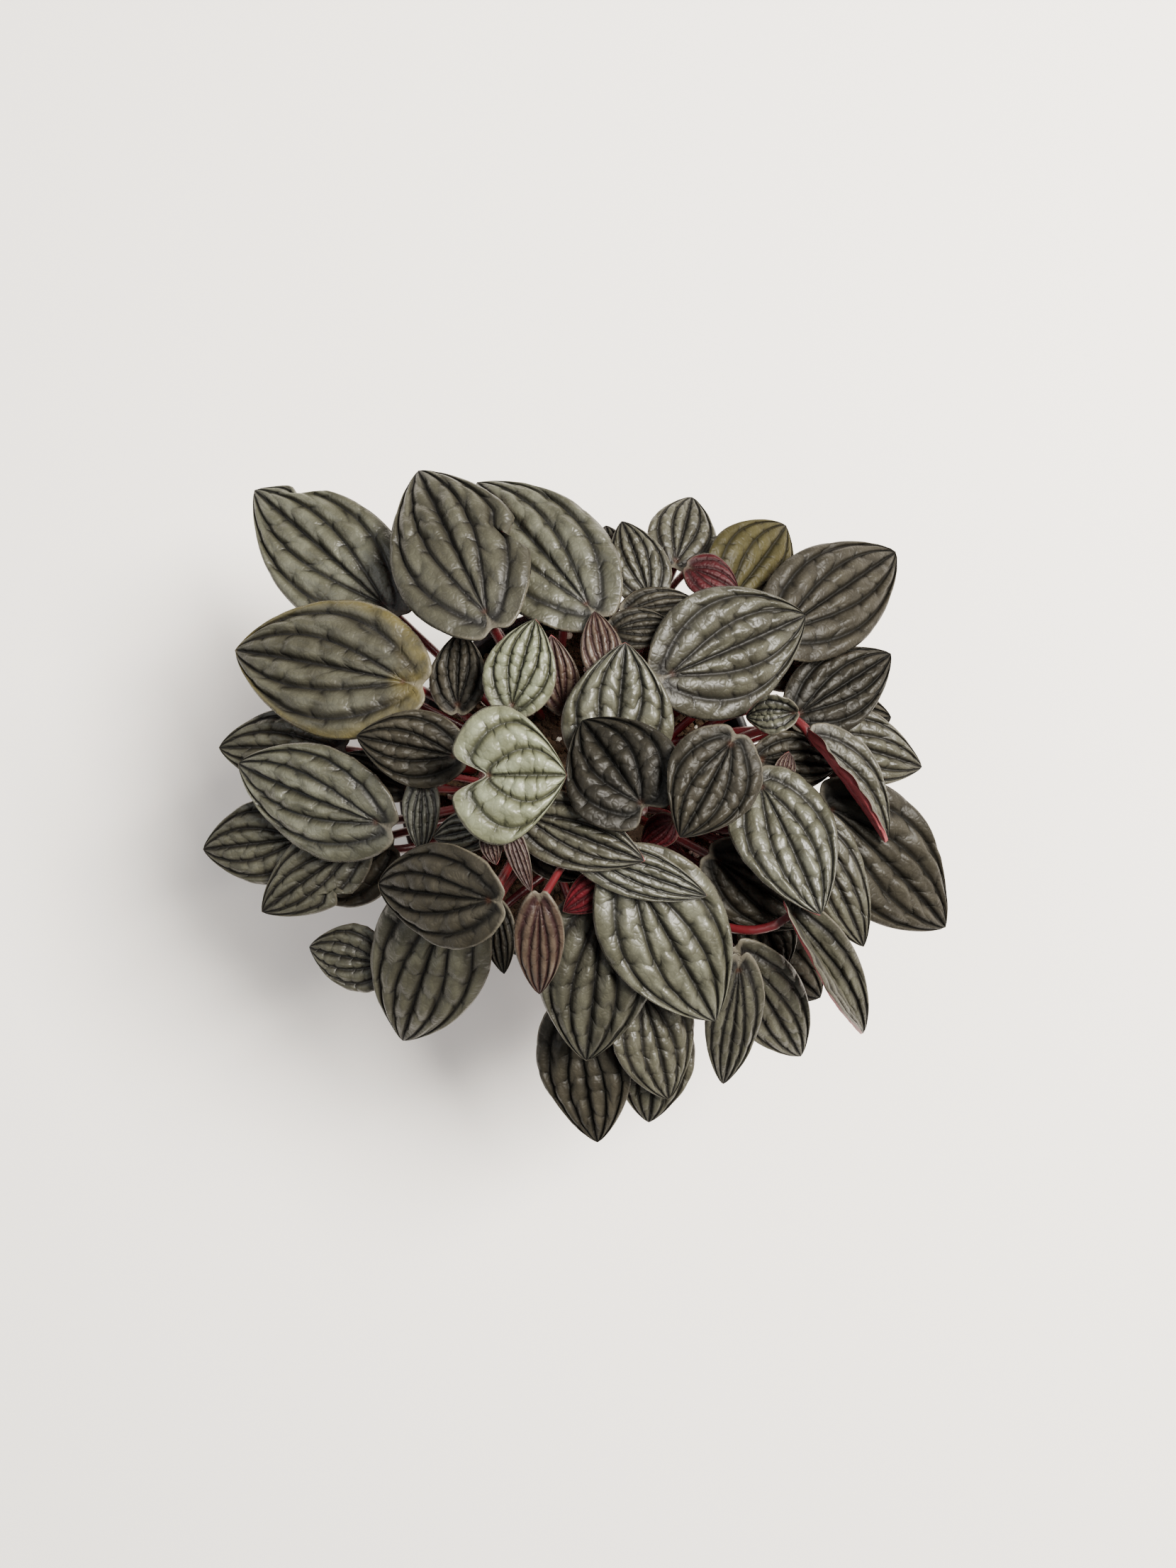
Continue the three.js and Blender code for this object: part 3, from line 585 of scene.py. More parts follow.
def blended(factor, a, b):
    """Colour a turned into colour b by a factor."""
    node = put(factor.tree, "ShaderNodeMix", {}, data_type="RGBA")
    for index, value in ((0, factor), (6, a), (7, b)):
        feed(factor.tree, node.inputs[index], value)
    return Wire(factor.tree, node.outputs[2])


# The kind of socket for each kind of value
KINDS = {
    "length": "NodeSocketFloat",
    "number": "NodeSocketFloat",
    "count": "NodeSocketInt",
    "material": "NodeSocketMaterial",
    "colour": "NodeSocketColor",
}


def geometry_tree(name, inputs):
    """A geometry tree with named inputs of each kind, and the wires that come from them."""
    tree = bpy.data.node_groups.new(name, "GeometryNodeTree")
    tree.interface.new_socket("Geometry", in_out="INPUT", socket_type="NodeSocketGeometry")
    for kind, labels in inputs.items():
        for label in labels:
            socket = tree.interface.new_socket(label, in_out="INPUT", socket_type=KINDS[kind])
            if kind == "length":
                socket.subtype = "DISTANCE"
    tree.interface.new_socket("Geometry", in_out="OUTPUT", socket_type="NodeSocketGeometry")
    given = tree.nodes.new("NodeGroupInput")
    return tree, {socket.name: Wire(tree, socket) for socket in given.outputs if socket.name}


def end_tree(tree, geometry, materials):
    """Closes a tree with Realize Instances and one Set Material for each material and choice."""
    shape = out(put(tree, "GeometryNodeRealizeInstances", {"Geometry": geometry}))
    for material, chosen in materials:
        inputs = {"Geometry": shape, "Material": material}
        if chosen is not None:
            inputs["Selection"] = chosen
        shape = out(put(tree, "GeometryNodeSetMaterial", inputs))
    end = tree.nodes.new("NodeGroupOutput")
    tree.links.new(shape.socket, end.inputs[0])


def stored(geometry, name, value, data_type="FLOAT", domain="POINT"):
    """Geometry with a value kept on it under a name."""
    inputs = {"Geometry": geometry, "Name": name, "Value": value}
    settings = {"data_type": data_type, "domain": domain}
    return out(put(geometry.tree, "GeometryNodeStoreNamedAttribute", inputs, **settings))


def marked_by(tree, name):
    """The faces on which a mark was stored under a name."""
    return out(put(tree, "GeometryNodeInputNamedAttribute", {"Name": name}, data_type="BOOLEAN"))


def smoothed(geometry):
    """Geometry with smooth shading."""
    inputs = {"Geometry": geometry, "Shade Smooth": True}
    return out(put(geometry.tree, "GeometryNodeSetShadeSmooth", inputs))


def grown(tree, sizes, data):
    """The plain mesh that a geometry tree makes of an object's data with the given sizes."""
    holder = bpy.data.objects.new(tree.name, data)
    bpy.context.scene.collection.objects.link(holder)
    modifier = holder.modifiers.new(tree.name, "NODES")
    modifier.node_group = tree
    for socket in tree.interface.items_tree:
        if socket.name in sizes:
            modifier[socket.identifier] = sizes[socket.name]
    graph = bpy.context.evaluated_depsgraph_get()
    mesh = bpy.data.meshes.new_from_object(
        holder.evaluated_get(graph), preserve_all_data_layers=True, depsgraph=graph
    )
    holder.modifiers.remove(modifier)
    bpy.data.objects.remove(holder)
    if not mesh.polygons:
        raise RuntimeError(f"the tree {tree.name} made nothing")
    return mesh


def one_piece(name, meshes, node):
    """Joins meshes into one object that stands for a node of the frame."""
    objects = [bpy.data.objects.new(name, mesh) for mesh in meshes]
    for item in objects:
        bpy.context.scene.collection.objects.link(item)
    piece = objects[0]
    if len(objects) > 1:
        chosen = {"selected_objects": objects, "selected_editable_objects": objects}
        with bpy.context.temp_override(active_object=piece, object=piece, **chosen):
            bpy.ops.object.join()
    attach(piece, "root")
    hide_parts(node)
    return piece


def colour_setting(name, description, default):
    """A colour that a user can change."""
    return bpy.props.FloatVectorProperty(
        name=name,
        description=description,
        default=srgb(default),
        size=4,
        min=0.0,
        max=1.0,
        subtype="COLOR",
    )


def size_setting(name, description, default, low, high):
    """A length that a user can change, given here in millimetres."""
    return bpy.props.FloatProperty(
        name=name,
        description=description,
        default=default * MM,
        min=low * MM,
        max=high * MM,
        subtype="DISTANCE",
        unit="LENGTH",
    )


def number_setting(name, description, default, high, **kind):
    """A number from 0 to high that a user can change."""
    return bpy.props.FloatProperty(
        name=name, description=description, default=default, min=0.0, max=high, **kind
    )


# Leaves

# The quilting of the fine blades: the width of a band between two main veins, in parts of the
# half width, the slant of the cross veins and how far apart they are in millimetres, and how far
# they are shifted, in parts of that, from band to band and from half to half
FINE_BAND = 0.375
CROSS_SLANT = 0.34
CROSS_APART = 4.2
BAND_SHIFT = 0.37
HALF_SHIFT = 0.46

# The rows and columns of a blade's mesh, and how its relief, brightness and seed vary
FULL_GRID = (73, 65)
SLIM_GRID = (43, 33)
LEAST_RIDGE = 0.35
WAVINESS = 0.03
SHADE_SPREAD = 0.09
SHADE_STEP = 2.4
SEED_STEP = 7.31

BLADE_INPUTS = {
    "length": ("Length", "Half Width", "Thickness"),
    "number": (
        "Back", "Notch", "Fold", "Arch", "Droop", "Ridge Rise", "Notch Span", "Cross Veins",
        "Cross Depth", "Waviness", "Left Turn", "Right Turn", "Tear Place", "Tear Width",
        "Tear Depth", "Seed", "Shade", "Fading",
    ),
    "count": ("Rows", "Columns"),
    "material": ("Upper Side", "Underside"),
}


def shifted(cross, band, t):
    """The count of the cross veins, moved on from band to band and on the left half."""
    return cross + band.floor() * BAND_SHIFT + t.over(0) * HALF_SHIFT


def blade_tree():
    """The tree that grows one blade, with +X to its tip, +Y to its left and +Z above it."""
    tree, given = geometry_tree("Quilted blade", BLADE_INPUTS)
    length, half = given["Length"], given["Half Width"]
    back, seed = given["Back"], given["Seed"]
    grid = put(tree, "GeometryNodeMeshGrid", {
        "Size X": 1.0,
        "Size Y": 1.0,
        "Vertices X": given["Rows"],
        "Vertices Y": given["Columns"],
    })
    s, v, _ = parted(out(grid, "UV Map"))
    t = v * 2 - 1
    side = abs(t)

    # The outline, drawn out by the veins from the stalk to the tip
    sinus = given["Notch"] * s.bell(given["Notch Span"])
    edge_x = length * ((back + 1) * (1 - (s * (math.pi / 2)).cos()) - back + sinus)
    edge_y = half * ((s**OUTLINE_SKEW * math.pi).sin().at_least(0) ** OUTLINE_FULLNESS)
    on_tear = (t * given["Tear Depth"]).over(0)
    tear = (1 - abs(s - given["Tear Place"]) / given["Tear Width"]).at_least(0)
    inset = on_tear * abs(given["Tear Depth"]) * tear * side * side
    x = s * length + (edge_x - s * length) * side**VEIN_SWEEP
    flat_y = edge_y * side * (1 - inset)
    reach = (x * x + flat_y * flat_y) ** 0.5

    # The quilting: bands between the main veins, parted by slanting cross veins
    band = side / FINE_BAND
    wander = (ripples(vector(s * 3, t * 2, s * 0), 1.3, seed) - 0.5) * 2.2
    cross = given["Cross Veins"] * (s - side * CROSS_SLANT) + wander
    ridge = abs((band * math.pi).sin()) ** 0.45
    cell = abs((shifted(cross, band, t) * math.pi).sin()) ** 0.75
    puff = ripples(vector(s * 3, t * 3, s * 0), 1.7, seed + 5, 1.0) * 0.9 + 0.55
    depth = given["Cross Depth"] * (1 - ridge**3 * 0.6)
    quilting = given["Ridge Rise"] * edge_y * ridge * puff * (1 - depth * (1 - cell))
    dents = (ripples(vector(x / MM, flat_y / MM, s * 0), 0.3, seed, 2.0) - 0.5) * 0.0006
    groove = side.bell(0.05) * edge_y * 0.02
    rim = (side**8) * edge_y * 0.07
    waves = given["Waviness"] * half * (s * 16 + seed).sin() * side**3 * s.ramp(0.0, 0.3)
    rise = quilting + dents * s.ramp(0, 0.1) - groove - rim + waves
    cup = given["Fold"] * flat_y - given["Arch"] * flat_y * flat_y / half
    dimple = reach.bell(0.002) * 0.0005

    # Each half can turn up or over about the midrib
    left = t.over(0)
    turn = left * given["Left Turn"] + (1 - left) * given["Right Turn"]
    height = rise + cup
    turned_y = flat_y * turn.cos() - height * turn.sin()
    turned_z = flat_y * turn.sin() + height * turn.cos()
    hand = left * 2 - 1
    y = turned_y * hand
    z = turned_z - given["Droop"] * x * abs(x) / length - dimple + given["Thickness"] / 2

    mesh = out(grid, "Mesh")
    mesh = stored(mesh, "LeafMap", vector(s, v, s * 0), "FLOAT2", "CORNER")
    for name, value in (
        ("cross", cross),
        ("girth", edge_y / MM),
        ("reach", reach / MM),
        ("shade", given["Shade"]),
        ("fading", given["Fading"]),
    ):
        mesh = stored(mesh, name, value)
    mesh = stored(mesh, "plane", vector(x / MM, y / MM, seed), "FLOAT_VECTOR")
    above = {"Geometry": mesh, "Position": vector(x, y, z)}
    upper = out(put(tree, "GeometryNodeSetPosition", above))

    # The underside lies a blade's thickness below and meets the upper side at the thin margin
    thick = given["Thickness"] * (1 - side**12)
    below = vector(x, y + turn.sin() * thick * hand, z - turn.cos() * thick)
    marked = stored(mesh, "under", True, "BOOLEAN", "FACE")
    lower = out(put(tree, "GeometryNodeSetPosition", {"Geometry": marked, "Position": below}))
    flipped = put(tree, "GeometryNodeFlipFaces", {"Mesh": lower})
    both = tree.nodes.new("GeometryNodeJoinGeometry")
    tree.links.new(upper.socket, both.inputs[0])
    tree.links.new(flipped.outputs[0], both.inputs[0])
    seam = {"Geometry": out(both), "Distance": 0.000003}
    closed = out(put(tree, "GeometryNodeMergeByDistance", seam))
    under = marked_by(tree, "under")
    end_tree(tree, smoothed(closed), [(given["Upper Side"], None), (given["Underside"], under)])
    return tree


STALK_INPUTS = {
    "length": ("Radius",),
    "number": ("Foot Swell", "Head Swell"),
    "count": ("Rings", "Sides"),
    "material": ("Skin",),
}


def stalk_tree():
    """The tree that turns a stalk's route into a fleshy, slightly swelling stalk."""
    tree, given = geometry_tree("Red stalk", STALK_INPUTS)
    route = put(tree, "GeometryNodeResampleCurve", {
        "Curve": given["Geometry"],
        "Count": given["Rings"],
    })
    way = out(tree.nodes.new("GeometryNodeSplineParameter"), "Factor")
    swell = given["Foot Swell"] * (1 - way) ** 5 + given["Head Swell"] * way**14
    lumps = ripples(vector(way * 6, way * 0, way * 0), 1.0) * 0.16 + 0.92
    profile = put(tree, "GeometryNodeCurvePrimitiveCircle", {
        "Resolution": given["Sides"],
        "Radius": given["Radius"],
    })
    kept = stored(out(route), "rise", way)
    tube = put(tree, "GeometryNodeCurveToMesh", {
        "Curve": kept,
        "Profile Curve": out(profile, "Curve"),
        "Scale": (swell + 1) * lumps,
        "Fill Caps": True,
    })
    end_tree(tree, smoothed(out(tube)), [(given["Skin"], None)])
    return tree


def srgb(text):
    """A linear colour from six hexadecimal digits."""
    values = [int(text[i : i + 2], 16) / 255 for i in (0, 2, 4)]
    return (*[v / 12.92 if v <= 0.04045 else ((v + 0.055) / 1.055) ** 2.4 for v in values], 1.0)


def shader_group(name, inputs, outputs):
    """A shader group with named sockets, the wires from its inputs and the node for its outputs."""
    tree = bpy.data.node_groups.new(name, "ShaderNodeTree")
    for label, (kind, default) in inputs.items():
        socket = tree.interface.new_socket(label, in_out="INPUT", socket_type=KINDS[kind])
        socket.default_value = default
    for label, kind in outputs.items():
        tree.interface.new_socket(label, in_out="OUTPUT", socket_type=KINDS[kind])
    given = tree.nodes.new("NodeGroupInput")
    end = tree.nodes.new("NodeGroupOutput")
    return tree, {socket.name: Wire(tree, socket) for socket in given.outputs if socket.name}, end


def attribute(tree, name, output="Fac"):
    """A value that was kept on the mesh under a name."""
    return out(put(tree, "ShaderNodeAttribute", {}, attribute_name=name), output)


def spots(tree):
    """Each spot's own coordinates on the object, in metres."""
    return out(tree.nodes.new("ShaderNodeTexCoord"), "Object")


def coloured(tree, shader, colour):
    """Feeds a pattern to a shader's colour."""
    tree.links.new(colour.socket, shader.inputs["Base Color"])


def leaf_places(tree):
    """The places that a leaf's patterns follow: along and across the veins, and in millimetres
    from the main veins, the cross veins, the margin and the stalk."""
    uv = tree.nodes.new("ShaderNodeUVMap")
    uv.uv_map = "LeafMap"
    s, v, _ = parted(out(uv))
    t = v * 2 - 1
    side = abs(t)
    band = side / FINE_BAND
    girth = attribute(tree, "girth")
    cross = shifted(attribute(tree, "cross"), band, t)
    return SimpleNamespace(
        s=s,
        side=side,
        band=band,
        girth=girth,
        off_vein=band.off_whole() * FINE_BAND * girth,
        off_cross=cross.off_whole() * CROSS_APART,
        to_margin=(1 - side) * girth,
        reach=attribute(tree, "reach"),
        plane=attribute(tree, "plane", "Vector"),
        shade=attribute(tree, "shade"),
        fading=attribute(tree, "fading"),
    )


def quilted_skin_group():
    """The upper side's pattern: dark sunken veins with painted shade beside them, silvery puffed
    bands and a pale thin margin.
    """
    tree, given, end = shader_group("Quilted leaf skin", {
        "Flesh": ("colour", srgb("808270")),
        "Silver": ("colour", srgb("a8aa9c")),
        "Vein": ("colour", srgb("3a372c")),
        "Margin": ("colour", srgb("5f5a4e")),
        "Stalk Mark": ("colour", srgb("2c170c")),
        "Faded": ("colour", srgb("4a4220")),
        "Roughness": ("number", 0.42),
    }, {"Colour": "colour", "Roughness": "number", "Height": "number"})
    leaf = leaf_places(tree)
    crown = abs((leaf.band * math.pi).sin())
    net = {"Vector": leaf.plane, "Scale": 0.62}
    veinlets = put(tree, "ShaderNodeTexVoronoi", net, feature="DISTANCE_TO_EDGE")
    off_veinlet = out(veinlets, "Distance")
    clouds = ripples(leaf.plane, 0.16, 0.0, 3.0)
    grain = ripples(leaf.plane, 1.6, 0.0, 2.0)
    middle = 1 - leaf.band.ramp(0.4, 0.6)
    core = leaf.off_vein.bell(middle * 0.18 + 0.3)
    # Painted shade: a soft darkening beside each main vein, and below beside each cross vein, where
    # the grooves lie in shade
    painted_vein_shade = leaf.off_vein.bell(middle * 0.4 + 0.75)
    beside = 1 - crown.ramp(0.35, 0.95) * 0.8
    core_cross = leaf.off_cross.bell(0.26) * beside
    painted_cross_shade = leaf.off_cross.bell(0.8) * beside
    inner = 1 - leaf.band.ramp(2.2, 2.6) * 0.7
    silvering = crown.ramp(0.25, 0.9) * (1 - painted_cross_shade * 0.8) * inner
    silvering = silvering * (clouds.ramp(0.3, 0.7) * 0.8 + 0.2)
    colour = blended(silvering, given["Flesh"], given["Silver"])
    colour = blended(off_veinlet.bell(0.05) * 0.16, colour, given["Vein"])
    # The painted shade beside the veins, blended towards the vein colour
    colour = blended(painted_vein_shade * 0.5 + painted_cross_shade * (1 - painted_vein_shade) * 0.35, colour, given["Vein"])
    colour = blended(core * 0.92, colour, given["Vein"])
    colour = blended(core_cross * 0.75, colour, given["Vein"])
    faded = leaf.fading * (1 - leaf.to_margin.ramp(0.3, 3.5)) * clouds.ramp(0.25, 0.6)
    colour = blended(faded, colour, given["Faded"])
    colour = blended((1 - leaf.to_margin.ramp(0.05, 0.35)) * 0.5, colour, given["Margin"])
    colour = blended(leaf.reach.bell(0.8) * 0.85, colour, given["Stalk Mark"])
    # Each leaf's brightness is partly painted shade; the clouds and the grain vary the tone at
    # random
    lit = leaf.shade + (clouds - 0.5) * 0.3 + (grain - 0.5) * 0.1
    bright = put(tree, "ShaderNodeHueSaturation", {"Color": colour, "Value": lit})
    roughness = given["Roughness"] + painted_vein_shade * 0.15 + (clouds - 0.5) * 0.15 - silvering * 0.06
    height = (1 - core) * 0.5 - core_cross * 0.5 + off_veinlet.ramp(0.0, 0.3) * 0.2 + grain * 0.06
    for label, value in (("Colour", out(bright)), ("Roughness", roughness), ("Height", height)):
        feed(tree, end.inputs[label], value)
    return tree


def surface(name, colour, roughness, metallic=0.0, specular=0.5, coat=0.0):
    """A material with plain values on its shader, and its tree and shader."""
    material = bpy.data.materials.new(name)
    material.use_nodes = True
    tree = material.node_tree
    shader = tree.nodes["Principled BSDF"]
    values = {
        "Base Color": colour,
        "Roughness": roughness,
        "Metallic": metallic,
        "Specular IOR Level": specular,
        "Coat Weight": coat,
    }
    for label, value in values.items():
        feed(tree, shader.inputs[label], value)
    return material, tree, shader


def raised(tree, shader, height, depth, strength=1.0):
    """Feeds a height, in parts of depth in metres, to a shader's normal through a bump."""
    bump = put(tree, "ShaderNodeBump", {"Height": height, "Distance": depth, "Strength": strength})
    tree.links.new(bump.outputs["Normal"], shader.inputs["Normal"])


def leaf_material(name, group, colours, roughness, gloss):
    """An upper side of one tone."""
    material, tree, shader = surface(name, (0.05, 0.05, 0.04, 1), roughness, specular=gloss)
    skin = tree.nodes.new("ShaderNodeGroup")
    skin.node_tree = group
    for label, colour in colours.items():
        skin.inputs[label].default_value = colour
    skin.inputs["Roughness"].default_value = roughness
    coloured(tree, shader, out(skin, "Colour"))
    tree.links.new(skin.outputs["Roughness"], shader.inputs["Roughness"])
    raised(tree, shader, out(skin, "Height"), 0.00035, 0.8)
    return material


def underside_material(colour, vein):
    """The crimson underside, with paler raised veins."""
    material, tree, shader = surface("Crimson underside", colour, 0.48)
    leaf = leaf_places(tree)
    core = leaf.off_vein.bell(0.55)
    mottle = ripples(leaf.plane, 0.5, 0.0, 4.0)
    shown = blended(core * 0.5, colour, vein)
    shown = blended((mottle - 0.35).at_least(0) * 0.9, shown, srgb("431a18"))
    coloured(tree, shader, shown)
    raised(tree, shader, core * 0.8 + mottle * 0.4, 0.0004, 0.6)
    return material


def stalk_material(colour):
    """Smooth, juicy red skin, a little paler at the foot."""
    material, tree, shader = surface("Red stalk", colour, 0.36)
    rise = attribute(tree, "rise")
    streaks = ripples(spots(tree), 700.0, 0.0, 3.0)
    shown = blended((1 - rise.ramp(0.0, 0.35)) * 0.45, colour, srgb("5e3324"))
    shown = blended(streaks.ramp(0.45, 0.75) * 0.5, shown, srgb("300c0c"))
    coloured(tree, shader, shown)
    raised(tree, shader, streaks, 0.0002, 0.4)
    return material


class PeperomiaLeafSettings(bpy.types.PropertyGroup):
    """Sizes and colours of the leaves and their stalks"""

    thickness: size_setting("Blade Thickness", "Thickness of a blade", BLADE_THICKNESS, 0.3, 2)
    ridge_rise: number_setting(
        "Ridge Rise", "Height of the bands between the veins, in parts of the half width",
        0.15, 0.3, subtype="FACTOR",
    )
    cross_veins: number_setting(
        "Cross Veins", "Number of cross veins along a full-sized leaf", 6.5, 20.0
    )
    cross_depth: number_setting(
        "Cross Vein Depth", "How deep the cross veins cut the bands", 0.7, 1.0, subtype="FACTOR"
    )
    stalk_radius: size_setting(
        "Stalk Radius", "Radius of a full-sized leaf's stalk", 1.25, 0.3, 3
    )
    flesh_colour: colour_setting(
        "Leaf Colour", "Colour of a silvery leaf between its ridges", "302f24"
    )
    silver_colour: colour_setting(
        "Silver Colour", "Colour of a silvery leaf's ridges", "4e4e42"
    )
    vein_colour: colour_setting("Vein Colour", "Colour of the sunken veins", "0b0a07")
    underside_colour: colour_setting("Underside Colour", "Colour of the undersides", "5a0814")
    stalk_colour: colour_setting("Stalk Colour", "Colour of the stalks", "460c11")


def leaf_materials(look):
    """The materials of the leaves' upper sides, by tone, each with its three colours, its
    roughness and its gloss."""
    group = quilted_skin_group()
    flesh, silver, vein = [
        tuple(colour) for colour in (look.flesh_colour, look.silver_colour, look.vein_colour)
    ]
    tones = {
        "silver": ("Silver leaf", flesh, silver, vein, (0.42, 0.38)),
        "grey": ("Grey leaf", srgb("2a281f"), srgb("3f3e33"), srgb("0a0806"), (0.45, 0.3)),
        "dusky": ("Dusky leaf", srgb("1f1c15"), srgb("2f2c24"), srgb("070604"), (0.5, 0.16)),
        "pale": ("Pale leaf", srgb("494a38"), srgb("676b58"), srgb("1b1c12"), (0.38, 0.3)),
        "young": ("Young leaf", srgb("33281f"), srgb("4e4338"), srgb("1e090a"), (0.42, 0.25)),
        "red": ("Red leaf", srgb("3c030b"), srgb("4c0712"), srgb("260408"), (0.5, 0.15)),
        "olive": ("Olive leaf", srgb("2a2611"), srgb("36321c"), srgb("14120a"), (0.5, 0.12)),
    }
    return {
        tone: leaf_material(name, group, dict(zip(("Flesh", "Silver", "Vein"), colours)), *finish)
        for tone, (name, *colours, finish) in tones.items()
    }


def blade_mesh(tree, pose, index, look, materials, underside):
    """One blade, grown by the tree and laid in its place."""
    leaf = pose.leaf
    slim = leaf["wide"] < SLIM_LEAF
    rows, columns = SLIM_GRID if slim else FULL_GRID
    quilt = leaf.get("quilt", 1)
    usual_shade = 1 + SHADE_SPREAD * math.sin(index * SHADE_STEP)
    tear_place, tear_width, tear_depth = leaf.get("tear", (0.5, 0.1, 0.0))
    left_turn, right_turn = leaf.get("shown_turns", leaf.get("turns", (0, 0)))
    mesh = grown(tree, {
        "Length": pose.length * MM,
        "Half Width": pose.half * MM,
        "Thickness": look.thickness,
        "Back": leaf.get("back", BACK),
        "Notch": leaf.get("notch", NOTCH),
        "Notch Span": leaf.get("sinus", leaf.get("span", NOTCH_SPAN)),
        "Fold": leaf.get("fold", FOLD),
        "Arch": ARCH,
        "Droop": DROOP,
        "Ridge Rise": look.ridge_rise * (LEAST_RIDGE + (1 - LEAST_RIDGE) * quilt),
        "Cross Veins": look.cross_veins * (SLIM_VEINS if slim else 1),
        "Cross Depth": look.cross_depth * quilt,
        "Waviness": WAVINESS,
        "Left Turn": math.radians(left_turn),
        "Right Turn": math.radians(right_turn),
        "Tear Place": tear_place,
        "Tear Width": tear_width,
        "Tear Depth": tear_depth,
        "Seed": index * SEED_STEP,
        # A listed brightness is partly painted shade; the usual one varies the tone at random
        "Shade": leaf.get("shade", usual_shade),
        "Fading": leaf.get("fading", 0.0),
        "Rows": rows,
        "Columns": columns,
        "Upper Side": materials[leaf["tone"]],
        "Underside": underside,
    }, bpy.data.meshes.new("Blade"))
    lie = Matrix.Identity(4)
    for column, direction in enumerate((pose.along, pose.across, pose.up, pose.base * MM)):
        lie.col[column][:3] = direction
    mesh.transform(lie)
    return mesh


def stalk_mesh(tree, pose, root, curve, look, skin):
    """One stalk, from its root in the soil along its route to its blade."""
    spine = [np.array((*root, SOIL_TOP - ROOT_DEPTH))]
    spine.extend(bezier(curve, np.arange(STALK_SPANS + 1) / STALK_SPANS))
    data = bpy.data.curves.new("Route", "CURVE")
    data.dimensions = "3D"
    spline = data.splines.new("POLY")
    spline.points.add(len(spine) - 1)
    for point, at in zip(spline.points, spine):
        point.co = (*(at * MM), 1)
    slim = pose.leaf["wide"] < SLIM_LEAF
    mesh = grown(tree, {
        "Radius": look.stalk_radius * (SLIM_STALK if slim else 1),
        "Foot Swell": 0.35,
        "Head Swell": 0.12,
        "Rings": 30,
        "Sides": 10,
        "Skin": skin,
    }, data)
    bpy.data.curves.remove(data)
    for vertex in mesh.vertices:
        from_blade = np.array(vertex.co) / MM - pose.base
        above = from_blade @ pose.up + STALK_SINK
        if above > 0 and np.linalg.norm(from_blade) < STALK_HEAD:
            vertex.co -= Vector(pose.up) * (above * MM)
    return mesh


class PEPEROMIA_OT_add_leaves(bpy.types.Operator):
    """Grow the leaves and shoots, each with its stalk, over their solids"""

    bl_idname = "peperomia.add_leaves"
    bl_label = "Add Leaves"

    def execute(self, context):
        look = context.scene.peperomia_leaves
        poses = stack_leaves()
        roots = root_places(poses)
        routes = stalk_routes(poses, roots)
        blades, stalks = blade_tree(), stalk_tree()
        materials = leaf_materials(look)
        underside = underside_material(tuple(look.underside_colour), srgb("b4565c"))
        skin = stalk_material(tuple(look.stalk_colour))
        parts = {}
        for index, (name, pose) in enumerate(zip(node_names(), poses)):
            parts.setdefault(name, []).extend((
                blade_mesh(blades, pose, index, look, materials, underside),
                stalk_mesh(stalks, pose, roots[index], routes[index], look, skin),
            ))
        for name, meshes in parts.items():
            one_piece(f"grown_{name}", meshes, name)
        return {"FINISHED"}


# Pot

def turned(name, profile, sides):
    """A closed skin turned about the Z axis from a profile, in millimetres, whose first and last
    points are on the axis."""
    turns = 2 * np.pi * np.arange(sides) / sides
    ring_points = profile[1:-1]
    vertices = [(0, 0, profile[0][1] * MM)]
    for radius, z in ring_points:
        x, y = radius * MM * np.cos(turns), radius * MM * np.sin(turns)
        vertices.extend(zip(x, y, [z * MM] * sides))
    vertices.append((0, 0, profile[-1][1] * MM))
    faces = []
    last = len(vertices) - 1
    for k in range(sides):
        n = (k + 1) % sides
        faces.append((0, 1 + n, 1 + k))
        for ring in range(len(ring_points) - 1):
            a, b = 1 + ring * sides, 1 + (ring + 1) * sides
            faces.append((a + k, a + n, b + n, b + k))
        top = 1 + (len(ring_points) - 1) * sides
        faces.append((top + k, top + n, last))
    mesh = bpy.data.meshes.new(name)
    mesh.from_pydata(vertices, [], faces)
    return mesh


class PeperomiaPotSettings(bpy.types.PropertyGroup):
    """Sizes and colours of the pot"""

    wall: size_setting("Wall", "Thickness of the pot's wall", POT_WALL, 0.5, 4)
    drain_count: bpy.props.IntProperty(
        name="Drain Holes",
        description="Number of drain holes in the floor",
        default=6,
        min=1,
        max=12,
    )
    drain_radius: size_setting("Drain Hole Radius", "Radius of a drain hole", 3.6, 1, 6)
    drain_circle: size_setting(
        "Drain Hole Circle", "Radius of the circle that the drain holes stand on", 25, 10, 30
    )
    colour: colour_setting("Pot Colour", "Colour of the pot's plastic", "222224")


